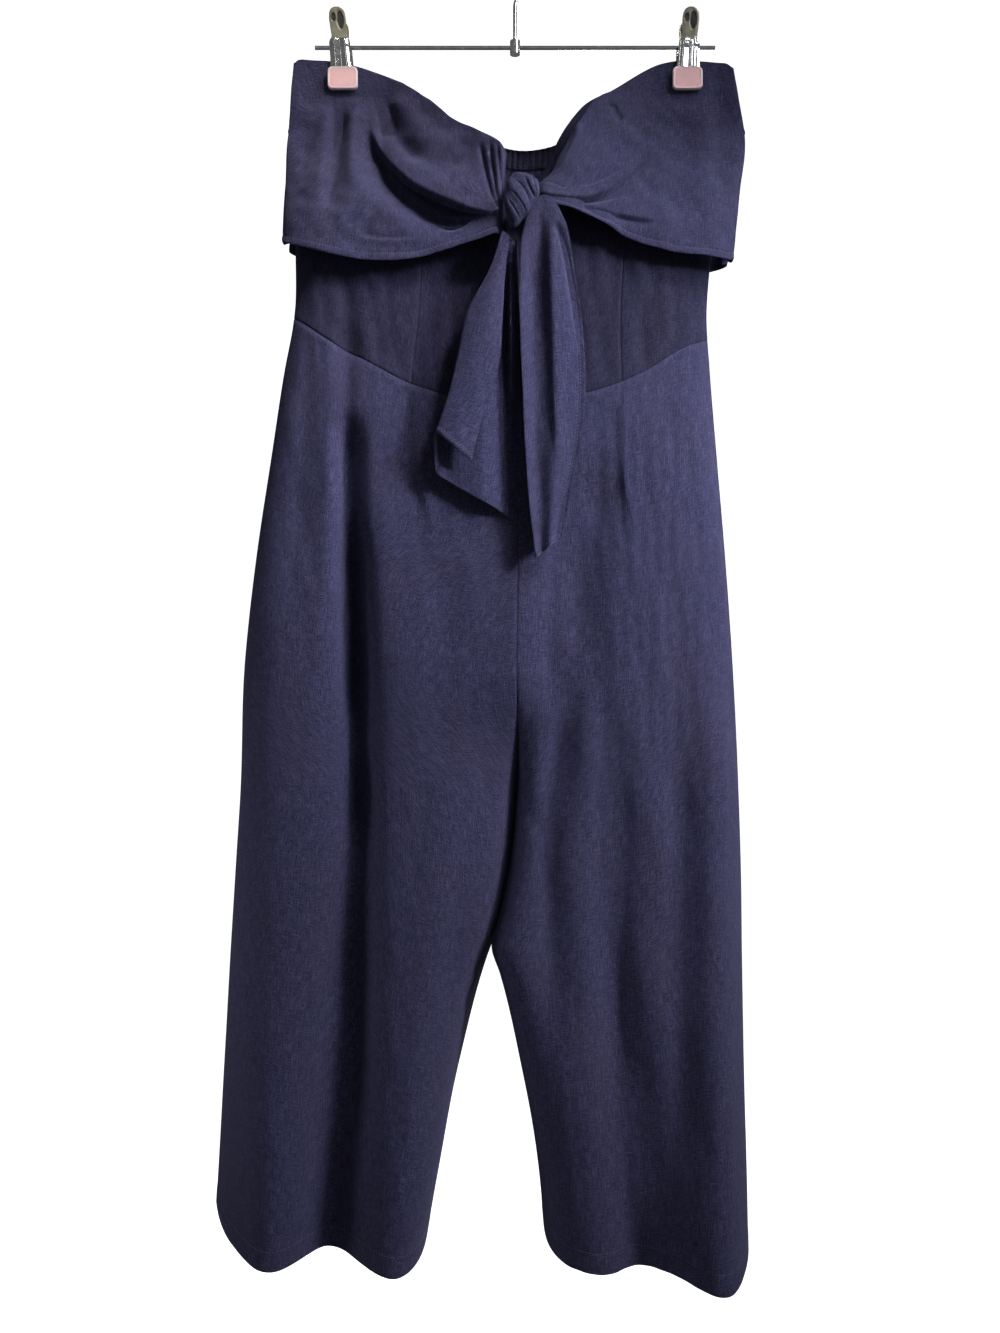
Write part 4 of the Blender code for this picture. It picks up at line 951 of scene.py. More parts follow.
def ring_faces(rings, around, base=0):
    """Faces between closed rings of points, each of around points, numbered from base."""
    faces = []
    for ring in range(rings - 1):
        for step in range(around):
            a = base + ring * around + step
            b = base + ring * around + (step + 1) % around
            faces.append((a, b, b + around, a + around))
    return faces


# ---------------------------------------------------------------- stitches
def resample(path, normals, pitch):
    """Places, directions and normals at an even pitch along a path."""
    gone = np.concatenate([[0.0], np.cumsum(np.linalg.norm(np.diff(path, axis=0), axis=1))])
    count = max(2, int(gone[-1] / pitch))
    wanted = (np.arange(count) + 0.5) * gone[-1] / count

    def at(field, places):
        return np.stack([np.interp(places, gone, field[:, k]) for k in range(3)], axis=1)

    ahead = at(path, wanted + pitch * STITCH_REACH) - at(path, wanted - pitch * STITCH_REACH)
    ahead /= np.linalg.norm(ahead, axis=1, keepdims=True)
    up = at(normals, wanted)
    up /= np.linalg.norm(up, axis=1, keepdims=True)
    return at(path, wanted), ahead, up


def stitch_rings(place, tangent, normal, side):
    """The rings of points of one stitch, whose two ends dip into the cloth."""
    centre = place + normal * (CLOTH_WALL / 2.0 + THREAD_RADIUS * STITCH_RISE)
    turns = 2.0 * math.pi * np.arange(STITCH_SIDES) / STITCH_SIDES
    points = []
    for station, size in STITCH_STATIONS:
        along = centre + tangent * station * STITCH_LENGTH / 2.0
        along = along - normal * THREAD_RADIUS * STITCH_SINK * station ** 4
        for turn in turns:
            offset = math.cos(turn) * side + math.sin(turn) * normal
            points.append(along + THREAD_RADIUS * size * offset)
    return points


def add_stitches(name, lines, seed):
    """Rows of stitches as short rounded threads, joined in one mesh."""
    draw = np.random.default_rng(seed)
    vertices, faces = [], []
    for path, normals in lines:
        places, ahead, up = resample(path, normals, STITCH_PITCH)
        for place, tangent, normal, side in zip(places, ahead, up, np.cross(up, ahead)):
            tangent = tangent + side * draw.normal(0.0, STITCH_TILT)
            faces += ring_faces(len(STITCH_STATIONS), STITCH_SIDES, len(vertices))
            vertices += stitch_rings(place, tangent, normal, side)
    made = add_mesh(name, np.array(vertices), np.array(faces), sharp=THREAD_SHARP)
    return dress(made, THREAD, "cloth")


# ---------------------------------------------------------------- materials
class Nodes:
    """A node tree that is filled in a few short calls."""

    def __init__(self, name):
        self.material = bpy.data.materials.new(name)
        self.material.use_nodes = True
        self.tree = self.material.node_tree
        self.shader = self.tree.nodes["Principled BSDF"]

    def add(self, kind, settings=None, **inputs):
        node = self.tree.nodes.new("ShaderNode" + kind)
        for key, value in (settings or {}).items():
            setattr(node, key, value)
        for key, value in inputs.items():
            place = int(key[1:]) if key[1:].isdigit() else key.replace("_", " ")
            socket = node.inputs[place]
            if isinstance(value, bpy.types.NodeSocket):
                self.tree.links.new(value, socket)
            else:
                socket.default_value = value
        return node

    def noise(self, place, scale, detail, settings=None, **more):
        noise = self.add("TexNoise", settings, Vector=place, Scale=scale, Detail=detail, **more)
        return noise.outputs[0]

    def scaled(self, place, *scale):
        return self.add("Mapping", Vector=place, Scale=scale).outputs[0]

    def between(self, value, low, high, bottom=0.0, top=1.0):
        return self.add("MapRange", Value=value, From_Min=low, From_Max=high, To_Min=bottom,
                        To_Max=top).outputs[0]

    def math(self, operation, first, second=0.0):
        return self.add("Math", {"operation": operation}, i0=first, i1=second).outputs[0]

    def mix(self, share, first, second, kind="MIX"):
        return self.add("Mix", {"data_type": "RGBA", "blend_type": kind}, Factor=share, i6=first,
                        i7=second).outputs[2]

    def bump(self, height, strength, distance):
        bump = self.add("Bump", Height=height, Strength=strength, Distance=distance)
        self.link(bump.outputs[0], "Normal")

    def link(self, output, name):
        self.tree.links.new(output, self.shader.inputs[name])

    def set(self, **values):
        for name, value in values.items():
            self.shader.inputs[name.replace("_", " ")].default_value = value


def linen(name, dark, light, warm):
    """Plain-woven linen: thick and thin threads both ways, flecked heather and soft blotches."""
    nodes = Nodes(name)
    weave = nodes.add("UVMap", {"uv_map": "weave"}).outputs["UV"]

    def streaks(size, detail=STREAK_DETAIL):
        place = nodes.scaled(weave, 1.0 / size[0], 1.0 / size[1], 1.0)
        return nodes.noise(place, 1.0, detail, {"noise_dimensions": "2D"},
                           Roughness=STREAK_ROUGHNESS)

    warp = nodes.between(streaks(WARP), *WARP_RANGE)
    weft = nodes.between(streaks(WEFT), *WEFT_RANGE)
    slubs = nodes.math("MAXIMUM", warp, weft)
    fleck = nodes.between(streaks(FLECK), *FLECK_RANGE)
    heather = nodes.math("ADD", nodes.math("MULTIPLY", slubs, SLUB_SHARE),
                         nodes.math("MULTIPLY", fleck, FLECK_SHARE))
    blotch = nodes.between(streaks(BLOTCH, BLOTCH_DETAIL), *BLOTCH_RANGE)
    nodes.link(nodes.mix(heather, nodes.mix(blotch, dark, warm), light), "Base Color")
    nodes.link(nodes.between(slubs, 0.0, 1.0, *LINEN_ROUGHNESS), "Roughness")

    place = nodes.scaled(weave, 1.0 / WEAVE_PITCH, 1.0 / WEAVE_PITCH, 1.0)
    threads = nodes.add("SeparateXYZ", Vector=place).outputs
    upright, level = (nodes.math("SINE", nodes.math("MULTIPLY", threads[axis], 2.0 * math.pi))
                      for axis in (0, 1))
    woven = nodes.math("MULTIPLY", nodes.math("MULTIPLY", upright, level), WOVEN_HEIGHT)
    nodes.bump(nodes.math("ADD", woven, slubs), *LINEN_BUMP)
    nodes.set(Sheen_Weight=0.12, Sheen_Roughness=0.45, Specular_IOR_Level=0.18,
              Sheen_Tint=(0.50, 0.50, 0.85, 1.0))
    return nodes.material


def thread(name, dark, light):
    nodes = Nodes(name)
    noise = nodes.noise(nodes.add("TexCoord").outputs["Object"], *THREAD_NOISE)
    nodes.link(nodes.mix(noise, dark, light), "Base Color")
    nodes.bump(noise, *THREAD_BUMP)
    nodes.set(Roughness=0.6, Sheen_Weight=0.3, Specular_IOR_Level=0.35)
    return nodes.material


def chrome(name, base, rough, metallic=1.0):
    """Plated steel with faint wiping marks and duller patches."""
    nodes = Nodes(name)
    place = nodes.add("TexCoord").outputs["Object"]
    fine = nodes.noise(nodes.scaled(place, *WIPING), *FINE_NOISE)
    cloudy = nodes.noise(place, *CLOUDY_NOISE)
    roughness = nodes.between(nodes.math("MULTIPLY", fine, cloudy), *PATCH_RANGE, rough,
                              rough + DULLER)
    shade = nodes.between(cloudy, *CLOUD_RANGE, CHROME_SHADE, 1.0)
    nodes.link(nodes.mix(1.0, base, shade, "MULTIPLY"), "Base Color")
    nodes.link(roughness, "Roughness")
    nodes.bump(fine, *CHROME_BUMP)
    nodes.set(Metallic=metallic)
    return nodes.material


def rubber(name, base, pale):
    """Soft pink plastic: faint marbling, dulled by handling."""
    nodes = Nodes(name)
    place = nodes.add("TexCoord").outputs["Object"]
    marble = nodes.noise(place, *MARBLE_NOISE, Distortion=0.6)
    grain = nodes.noise(place, *GRAIN_NOISE)
    nodes.link(nodes.mix(marble, base, pale), "Base Color")
    nodes.link(nodes.between(marble, 0.0, 1.0, *RUBBER_ROUGHNESS), "Roughness")
    nodes.bump(grain, *RUBBER_BUMP)
    nodes.set(Subsurface_Weight=0.15, Subsurface_Scale=0.002, Specular_IOR_Level=0.25)
    return nodes.material


LINEN = linen("navy linen", (0.0095, 0.0090, 0.0290, 1.0), (0.0790, 0.0765, 0.1660, 1.0),
              (0.0130, 0.0100, 0.0270, 1.0))
# A darker copy of the navy linen: painted shade of the band, for the front bodice and the casing.
SHADED_LINEN = linen("navy linen with painted shade", (0.0051, 0.0046, 0.0160, 1.0),
                    (0.0430, 0.0405, 0.0940, 1.0), (0.0072, 0.0055, 0.0156, 1.0))
THREAD = thread("navy thread", (0.026, 0.025, 0.055, 1.0), (0.050, 0.049, 0.098, 1.0))
CHROME = chrome("clip chrome", (0.78, 0.77, 0.76, 1.0), 0.07)
# The tongue's olive tone is a painted warm reflection.
TONGUE_PAINTED_REFLECTION = chrome("tongue metal with painted warm reflection", (0.33, 0.31, 0.235, 1.0), 0.30, 0.35)
# The near-black metal in the tongue's hollows is painted shade.
HOLLOW_PAINTED_SHADE = chrome("hollow metal with painted shade", (0.050, 0.045, 0.040, 1.0), 0.34, 0.35)
PINK = rubber("pink pad", (0.72, 0.43, 0.43, 1.0), (0.80, 0.52, 0.52, 1.0))
PINK_RIM = rubber("pale pad rim", (0.84, 0.64, 0.65, 1.0), (0.90, 0.74, 0.75, 1.0))


def dress(made, material, slot, *nodes):
    """Material, body and the CAD nodes that a piece stands for; slot is not used."""
    made.data.materials.clear()
    made.data.materials.append(material)
    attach(made, "root")
    if nodes:
        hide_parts(*nodes)
    return made


def sew(name, side, x, y, z, borders, stitched=(), material=LINEN):
    """A sheet that stands for the solid of its name, as a dictionary of one."""
    sheet = Sheet(name + "_cloth", stack(x, y, z), (0, side, 0), borders, stitched)
    dress(sheet.object, material, "cloth", name)
    return {name: sheet}


def side_seam(across):
    """How far a piece is drawn forward where it meets the next one at a side seam."""
    return SEAM_HALF * bell(1.0 - np.abs(across), SIDE_SEAM_SHARE)


# ---------------------------------------------------------------- trousers
def dart_push(leg, side, x, z):
    """A dart: a narrow groove that dies out at its tip, with the cloth slightly full beside it."""
    dart = dict(zip(DART_COLUMNS, DARTS[(leg, side)]))
    down = np.clip((dart["z0"] - z) / (dart["z0"] - dart["z1"]), 0.0, DART_END)
    centre = blend(dart["x0"], dart["x1"], down)
    fade = 1.0 - smooth((down - DART_TIP) / DART_TIP_FADE)
    groove = DART_DEPTH * bell(x - centre, DART_WIDTH)
    full = DART_FULLNESS * bell(x - centre, DART_FULL_WIDTH) * smooth(down / DART_START)
    return fade * (groove - full)


def make_trouser_half(leg, side):
    rows, columns = TROUSER_GRID[side]
    s = spread_section(columns, lambda share, z: trouser_point(leg, side, share, z), SHIN_Z)
    s = s[None, :]
    down = spread_length(rows, LEG_LENGTH)[:, None]
    waist = edge("waist_z" if side == FRONT else "back_waist_z", trouser_across(leg, s, WAIST_Z))
    z = blend(waist + UNDER_LAP, HEM_Z, down)
    x, y = trouser_point(leg, side, s, z)
    seed = TROUSER_SEEDS * (leg + 2) + side
    below_seam = waist - z
    soft = ripple(x, z, seed, *TROUSER_WAVE) + ripple(x, z, seed + 1, *TROUSER_WRINKLE)
    soft = soft + ripple(x, z, seed + 2, *WAIST_PUCKER) * np.exp(-below_seam / WAIST_PUCKER_FADE)
    push = dart_push(leg, side, x, z) + soft * smooth(below_seam / WAIST_REACH)
    push = push + crease_push(TROUSER_CREASES[(leg, side)], x, z)
    if side == FRONT:
        push = push + crease_push(BODICE_CREASES, x, z)
    free = np.minimum(1.0, SEAM_FREEDOM * np.minimum(s, 1.0 - s))
    under = UNDER_DEPTH * smooth((z - waist + UNDER_START) / UNDER_FADE)
    y = y - side * (push * free + under)
    borders = {"left": SEAM, "right": SEAM, "bottom": HEMMED}
    name = f"trouser_{SIDE_NAMES[side]}_{LEG_NAMES[leg]}"
    return sew(name, side, x, y, z, borders, (("bottom", TROUSER_STITCH),))


# ---------------------------------------------------------------- bodice
def make_bodice_front(name, first, last, columns):
    inner = last < 1.0
    first = first + SEAM_ACROSS * (first > -1.0)
    last = last + LAP_ACROSS * inner
    share = spread_section(
        columns, lambda share, z: body_point(FRONT, blend(first, last, share), z), BODICE_FRONT_Z)
    across = blend(first, last, share)[None, :]
    down = spread_length(BODICE_FRONT_ROWS, BODICE_FRONT_LENGTH)[:, None]
    waist = edge("waist_z", across)
    z = blend(edge("neck_z", across), waist + SEAM_HALF, down)
    x, y = body_point(FRONT, across, z)
    above_seam = z - waist
    soft = ripple(x, z, BODICE_SEED, *BODICE_WAVE)
    pucker = ripple(x, z, BODICE_PUCKER_SEED, *BODICE_PUCKER)
    soft = soft + pucker * np.exp(-above_seam / BODICE_PUCKER_FADE)
    below = TROUSER_CREASES[(LEFT, FRONT)] + TROUSER_CREASES[(RIGHT, FRONT)]
    push = crease_push(BODICE_CREASES + below, x, z) + soft * smooth(above_seam / WAIST_REACH)
    lapped = 1.0 - smooth((last - across - LAP_ACROSS + LAP_START) / LAP_FADE)
    push = push + UNDER_DEPTH * lapped * inner
    covered = smooth((z - band_edge("hem_z", across)) / COVER_FADE - COVER_START)
    y = y + COVER_SINK * covered * smooth((SINK_Z - z) / SINK_FADE)
    y = y + push * smooth((PINCH_Z - z) / PINCH_RELEASE) - side_seam(across)
    borders = {"left": SEAM, "top": FOLDED, "bottom": SEAM}
    if not inner:
        borders["right"] = SEAM
    # The darker linen paints the shade that the band casts on the bodice.
    return sew("bodice_front_" + name, FRONT, x, y, z, borders, material=SHADED_LINEN)


def between_clips(x):
    """1 between the clips, 0 at them and outside."""
    clear = smooth((clip_gap(x) - HELD_HALF - GATHER_GAP) / GATHER_GAP_FADE)
    return clear * (np.abs(x) < CLIP_X[1])


def gather_wave(across, x, shallow):
    """The gathers of the elastic back between the clips, pressed flat near them."""
    level = across * 0.0
    phase = math.pi * GATHERS * across + ripple(across, level, GATHER_SPACING_SEED, *GATHER_SPACING)
    sharp = 1.0 - np.abs(np.sin(phase)) ** GATHER_SHARPNESS
    height = 1.0 + ripple(across, level, GATHER_HEIGHT_SEED, *GATHER_UNEVENNESS)
    return shallow * GATHER_HEIGHT * sharp * height * between_clips(x)


def casing_low(across):
    return edge("back_neck_z", across) - CASING_HEIGHT


def make_bodice_back():
    rows, columns = BODICE_BACK_GRID
    share = spread_section(
        columns, lambda share, z: body_point(BACK, 2.0 * share - 1.0, z), BODICE_BACK_Z)
    across = (2.0 * share - 1.0)[None, :]
    down = spread_length(rows, BODICE_BACK_LENGTH)[:, None]
    waist = edge("back_waist_z", across)
    z = blend(casing_low(across) - SEAM_HALF, waist + SEAM_HALF, down)
    x, y = body_point(BACK, across, z)
    fade = np.exp(-(casing_low(across) - z) / GATHER_FADE)
    y = y + gather_wave(across, x, BELOW_CASING) * fade
    y = y - side_seam(across)
    settled = smooth((PINCH_Z - z) / PINCH_RELEASE) * smooth((z - waist) / WAIST_REACH)
    y = y - ripple(x, z, BODICE_BACK_SEED, *BODICE_BACK_WAVE) * settled
    borders = {"left": SEAM, "right": SEAM, "top": ROLLED, "bottom": SEAM}
    return sew("bodice_back", BACK, x, y, z, borders)


def make_casing():
    across = np.linspace(-1.0, 1.0, POINTS_A_GATHER * GATHERS + 1)[None, :]
    down = spread_length(CASING_ROWS, CASING_HEIGHT)[:, None]
    z = blend(edge("back_neck_z", across), casing_low(across) + SEAM_HALF, down)
    x, y = body_point(BACK, across, z)
    y = y + gather_wave(across, x, 1.0 - CASING_FLATTER * down)
    y = y + CASING_BULGE * np.sin(math.pi * down) * between_clips(x)
    z = z + CASING_SCALLOP * gather_wave(across, x, 1.0) / GATHER_DEPTH * (1.0 - down)
    borders = {"left": SEAM, "right": SEAM, "top": ROLLED, "bottom": ROLLED}
    stitched = (("bottom", CASING_STITCH),)
    # The darker linen paints the shade that falls on the casing.
    return sew("bodice_back_casing", BACK, x, y, z, borders, stitched, SHADED_LINEN)


# ---------------------------------------------------------------- band
def rows_along_roll(rows, across, top, low):
    """Shares down the left band, one row of which runs along the lower edge of the big roll."""
    roll_x, roll_z = crease_line(LEFT_BAND_CREASES[0], np.linspace(0.0, 1.0, ROLL_SAMPLES))[1:]
    line_z = np.full_like(across, BAND_Z)
    for _ in range(ROLL_ROUNDS):
        line_z = np.interp(band_x(across, line_z), roll_x, roll_z)
    at_roll = (top - line_z) / (top - low)
    fine = np.arange(-ROLL_FINE_ROWS, ROLL_FINE_ROWS + 1)[:, None]
    fine = ROLL_ROW + fine * ROLL_ROW_STEP
    kept = rows[np.abs(rows[:, 0] - ROLL_ROW) > ROLL_ROW_GAP]
    rows = np.sort(np.concatenate([kept, fine]), axis=0)
    on_roll = rows < ROLL_ROW + ROLL_ROW_TOUCH
    above = rows / ROLL_ROW * at_roll
    below = at_roll + (rows - ROLL_ROW) / (1.0 - ROLL_ROW) * (1.0 - at_roll)
    return np.where(on_roll, above, below), on_roll, roll_x, roll_z


def roll_lip(x, z, on_roll, roll_x, roll_z):
    """How far the lip of the roll hangs down over the recess."""
    above = np.maximum(z - np.interp(x, roll_x, roll_z), 0.0)
    start = smooth((x - roll_x[0] - LIP_START) / LIP_START_FADE)
    along = start * smooth((roll_x[-1] - x) / LIP_END_FADE)
    return ROLL_LIP * along * bell(above, LIP_HEIGHT) * on_roll


def away_from_clips(x, z):
    return smooth((clip_gap(x) - HELD_HALF) / BAND_FREE + (HELD_Z - z) / BAND_FREE)


def band_front_grid(leg):
    """x, y and z of one half of the front band, before its ripples."""
    def point(share, z):
        return band_point(FRONT, blend(float(leg), BAND_KNOT_ENDS[leg], share), z, 0.5, ())

    share = spread_section(BAND_FRONT_GRID[1], point, BAND_Z)
    share = np.sort(blend(np.sin(share * math.pi / 2.0), share, BAND_EVEN))
    across = blend(float(leg), BAND_KNOT_ENDS[leg], share)[None, :]
    down = spread_length(BAND_FRONT_GRID[0], BAND_FRONT_LENGTH)[:, None]
    corner = CORNER_DROP * bell(1.0 - np.abs(across), CORNER_WIDTH)
    top, low = edge("neck_z", across) - corner, band_edge("hem_z", across) + corner
    if leg == LEFT:
        down, *roll = rows_along_roll(down, across, top, low)
    z = blend(top, low, down)
    x, y = band_point(FRONT, across, z, down, BAND_CREASES[leg])
    if leg == LEFT:
        z = z - roll_lip(x, z, *roll)
    else:
        low_down = smooth((INTO_KNOT_Z - z) / INTO_KNOT_FADE)
        x = x - INTO_KNOT * bell(x - INTO_KNOT_X, INTO_KNOT_WIDTH) * low_down
    return across, x, y, z


def make_band_front(leg):
    across, x, y, z = band_front_grid(leg)
    far = smooth((np.abs(x - KNOT_CENTRE[0]) - KNOT_CALM) / KNOT_CALM_FADE)
    wrinkle = ripple(x, z, BAND_WRINKLE_SEED + leg, *BAND_WRINKLE)
    soft = ripple(x, z, BAND_SEED + leg, *BAND_WAVE) + wrinkle * far
    y = y + soft * away_from_clips(x, z) - side_seam(across)
    y = y + INNER_TURN * bell(across - BAND_KNOT_ENDS[leg], INNER_TURN_WIDTH)
    borders = {"left": SEAM, "top": FOLDED, "bottom": HEMMED}
    return sew("band_front_" + LEG_NAMES[leg], FRONT, x, y, z, borders, (("bottom", BAND_STITCH),))


def make_band_back():
    rows, columns = BAND_BACK_GRID
    share = spread_section(
        columns, lambda share, z: band_point(BACK, 2.0 * share - 1.0, z, 0.5, ()), BAND_Z)
    across = (2.0 * share - 1.0)[None, :]
    down = spread_length(rows, BAND_BACK_LENGTH)[:, None]
    z = blend(edge("back_neck_z", across), band_edge("back_hem_z", across), down)
    x, y = band_point(BACK, across, z, down, BACK_BAND_CREASES)
    y = y + ripple(x, z, BAND_BACK_SEED, *BAND_BACK_WAVE) * away_from_clips(x, z)
    y = y + BAND_GATHER * gather_wave(across, x, 1.0) / GATHER_DEPTH * (1.0 - down) ** 2
    y = y - side_seam(across)
    borders = {"left": SEAM, "right": SEAM, "top": FOLDED, "bottom": HEMMED}
    return sew("band_back", BACK, x, y, z, borders, (("bottom", BAND_STITCH),))


# ---------------------------------------------------------------- knot and tie ends
def make_knot():
    """A rounded lump of wrapped cloth, leaning to the lower left."""
    rings, segments = KNOT_GRID
    polar = math.pi * np.linspace(0.0, 1.0, rings + 1)[:, None]
    turn = 2.0 * math.pi * np.arange(segments + 1)[None, :] / segments
    unit = stack(np.sin(polar) * np.cos(turn), np.sin(polar) * np.sin(turn), np.cos(polar))
    across, depth, up = unit[..., 0], unit[..., 1], unit[..., 2]
    power = blend(1.0, KNOT_TOP_SQUARENESS, smooth(unit[..., 2:] + 0.5))
    rounded = np.sign(unit) * np.abs(unit) ** power
    rounded[..., 1] = np.sign(depth) * np.abs(depth) ** KNOT_FRONT_SQUARENESS
    phase = KNOT_WAVES * (KNOT_WAVE_UP * up + KNOT_WAVE_ACROSS * across)
    wave = KNOT_WAVE_HEIGHT * (np.cos(2.0 * math.pi * phase) * np.sin(polar))
    place = rounded * (np.array(KNOT_HALF) + wave[..., None])
    place[..., 0] *= 1.0 + KNOT_TAPER * up
    x = KNOT_CENTRE[0] + place[..., 0] * math.cos(KNOT_LEAN) + place[..., 2] * math.sin(KNOT_LEAN)
    z = KNOT_CENTRE[2] + place[..., 2] * math.cos(KNOT_LEAN) - place[..., 0] * math.sin(KNOT_LEAN)
    along = KNOT_THREAD_SLOPE[0] * x - KNOT_THREAD_SLOPE[1] * z
    threads = KNOT_THREAD_DEPTH * np.sin(2.0 * math.pi * along / KNOT_THREAD_PITCH)
    push = crease_push(KNOT_CREASES, x, z, KNOT_STEP) + threads
    grid = stack(x, KNOT_CENTRE[1] + place[..., 1] + smooth(-depth / KNOT_FRONT_FADE) * push, z)
    _, a, b, c, d = grid_corners(grid)
    faces = np.stack([a, d, c, b], axis=1)
    made = add_mesh("knot_cloth", grid.reshape(-1, 3), faces, cloth_lengths(grid), KNOT_SHARP)
    dress(made, LINEN, "cloth", "knot")


def make_right_end():
    down = spread_length(RIGHT_END_GRID[0], RIGHT_END_SIZE[0])[:, None]
    share = spread_length(RIGHT_END_GRID[1], RIGHT_END_SIZE[1])[None, :]
    column = {name: read(RIGHT_END, RIGHT_END_COLUMNS, name, down)
              for name in RIGHT_END_COLUMNS[1:]}
    x = blend(column["left_x"], column["right_x"], share)
    z = blend(column["left_z"], column["right_z"], share)
    z = z + RIGHT_END_ARCH * (1.0 - (2.0 * share - 1.0) ** 2) * (1.0 - smooth(down / ARCH_END))
    wave = -np.cos(2.0 * math.pi * END_WAVES * share + END_WAVE_DRIFT * down)
    wave = wave * smooth(down * END_WAVE_RISE)
    y = column["y"] + END_WAVE * wave + END_TILT * share * smooth(down * END_RISE)
    y = y + crease_push(RIGHT_TAIL_CREASES, x, z) + ripple(x, z, RIGHT_END_SEED, *END_RIPPLE)
    borders = {"left": FOLDED, "right": FOLDED, "bottom": FOLDED}
    return sew("tie_end_right", FRONT, x, y, z, borders, (("bottom", END_STITCH),))


def left_end_front(column, settle):
    """The layer of the left tie end that lies in front, from its edge to the fold."""
    share = np.concatenate([np.array(EDGE_STEPS) / FRONT_EDGE_SHARE,
                            np.linspace(FRONT_START, 1.0, FRONT_COLUMNS)])[None, :]
    belly = FRONT_BELLY * np.sin(math.pi * share) * settle
    return (blend(column["edge_x"], column["fold_x"], share),
            LEFT_END_FRONT_Y + FRONT_SINK * (1.0 - settle) - belly,
            blend(column["edge_z"], column["fold_z"], share))


def left_end_turn(column, settle):
    """The round fold between the two layers."""
    turn = np.linspace(-0.5, 0.5, TURN_COLUMNS)[None, 1:-1] * math.pi
    middle_y = (LEFT_END_FRONT_Y + LEFT_END_BEHIND_Y) / 2.0
    half_y = (LEFT_END_BEHIND_Y - LEFT_END_FRONT_Y) / 2.0
    return (column["fold_x"] - TURN_OUT * settle * np.cos(turn),
            middle_y + half_y * np.sin(turn) + 0.0 * settle,
            blend(column["fold_z"], column["turn_z"], 0.5 + 0.5 * np.sin(turn)))


def left_end_behind(column, settle, down):
    """The layer behind: forward in a narrow strip beside the right tie end, then dropping back."""
    share = np.concatenate([np.linspace(0.0, BEHIND_END, BEHIND_COLUMNS),
                            1.0 - np.array(EDGE_STEPS)[::-1] / BEHIND_EDGE_SHARE])[None, :]
    x = blend(column["fold_x"], column["behind_x"], share)
    wave = BEHIND_WAVE * np.sin(BEHIND_WAVES * math.pi * share) * settle
    strip = bell(x - STRIP_X, STRIP_HALF) * settle * (1.0 - smooth(down / STRIP_END - STRIP_START))
    back_there = BEHIND_DROP * smooth((x - BEHIND_DROP_X) / BEHIND_DROP_FADE) * settle
    y = LEFT_END_BEHIND_Y + wave - STRIP_FORWARD * strip + back_there
    return x, y, blend(column["turn_z"], column["behind_z"], share)


def make_left_end():
    """A strip folded lengthways: its edge is in front, and the rest turns back behind it."""
    down = spread_length(*LEFT_END_ROWS)[:, None]
    column = {name: read(LEFT_END, LEFT_END_COLUMNS, name, down) for name in LEFT_END_COLUMNS[1:]}
    settle = smooth(down * END_RISE)
    parts = (left_end_front(column, settle), left_end_turn(column, settle),
             left_end_behind(column, settle, down))
    x, y, z = (np.concatenate([part[axis] for part in parts], axis=1) for axis in range(3))
    y = y + ripple(x, z, LEFT_END_SEED, *END_RIPPLE)
    return sew("tie_end_left", BACK, x, y, z, {"bottom": FOLDED}, (("bottom", END_STITCH),))


# ---------------------------------------------------------------- hanger
def tube(name, path, radius, *nodes):
    curve = bpy.data.curves.new(name, "CURVE")
    curve.dimensions = "3D"
    curve.bevel_depth = radius
    curve.bevel_resolution = TUBE_ROUNDNESS
    curve.use_fill_caps = True
    spline = curve.splines.new("POLY")
    spline.points.add(len(path) - 1)
    for point, place in zip(spline.points, path):
        point.co = (*place, 1.0)
    dress(add_object(name, curve), CHROME, "chrome", *nodes)


def make_hook_and_bar():
    radius = HOOK_RADIUS + WIRE_RADIUS
    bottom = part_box("hanger_boss")[1][2]
    path = [(0.0, 0.0, blend(bottom, NECK_TOP, step / NECK_STEPS)) for step in range(NECK_STEPS)]
    for share in np.arange(BEND_STEPS) / BEND_STEPS:
        path.append((radius * float(smooth(share)), 0.0, blend(NECK_TOP, -HOOK_RADIUS, share)))
    for step in range(ARC_STEPS + 1):
        angle = HOOK_ARC * step / ARC_STEPS
        path.append((radius * math.cos(angle), 0.0, -HOOK_RADIUS + radius * math.sin(angle)))
    tube("hook_wire", path, WIRE_RADIUS, "hanger_hook")
    bar = [(x, 0.0, BAR_Z) for x in np.linspace(-BAR_HALF, BAR_HALF, BAR_POINTS)]
    tube("bar_wire", bar, WIRE_RADIUS, "hanger_bar")


def jaw_grid(clip_x, lean, side):
    """The stamped jaw: a tongue to press, two pressed ribs, and a lip over the pad."""
    bottom, top = CLIP_PROFILE[0][0], CLIP_PROFILE[-1][0]
    z = np.linspace(bottom, top, JAW_GRID[0])[:, None]
    share = np.linspace(-1.0, 1.0, JAW_GRID[1])[None, :]
    half = read(CLIP_PROFILE, CLIP_COLUMNS, "half_width", z)
    round_top = np.clip(1.0 - ((z - top + TONGUE_ROUND) / TONGUE_END) ** 2, 0, 1)
    round_top = np.sqrt(round_top) * TONGUE_HALF
    half = np.where(z > top - TONGUE_ROUND, round_top, half)
    leaning = lean * (z - PAD_CENTRE_Z)
    x = clip_x + half * share + leaning
    sleeve = 1.0 - smooth((z - SLEEVE_TOP) / SLEEVE_FADE)
    ribs = RIB_HEIGHT * bell(np.abs(share) - RIB_PLACE, RIB_WIDTH)
    ribs = ribs - GROOVE_DEPTH * bell(share, GROOVE_WIDTH)
    tongue = (1.0 - sleeve) * bell(share, TONGUE_WIDTH)
    lift = JAW_CROWN * (1.0 - share ** 2) + sleeve * ribs - TONGUE_DISH * tongue
    step = 1.0 - smooth((z - STEP_TOP) / STEP_TOP_FADE)
    step = STEP_HEIGHT * step * (1.0 - smooth((STEP_LOW - z) / STEP_LOW_FADE))
    lift = lift - HOLLOW_DEPTH * hollows(x - clip_x - leaning, z)
    y = side * (read(CLIP_PROFILE, CLIP_COLUMNS, "y", z) + lift + step)
    return stack(x, y, z)


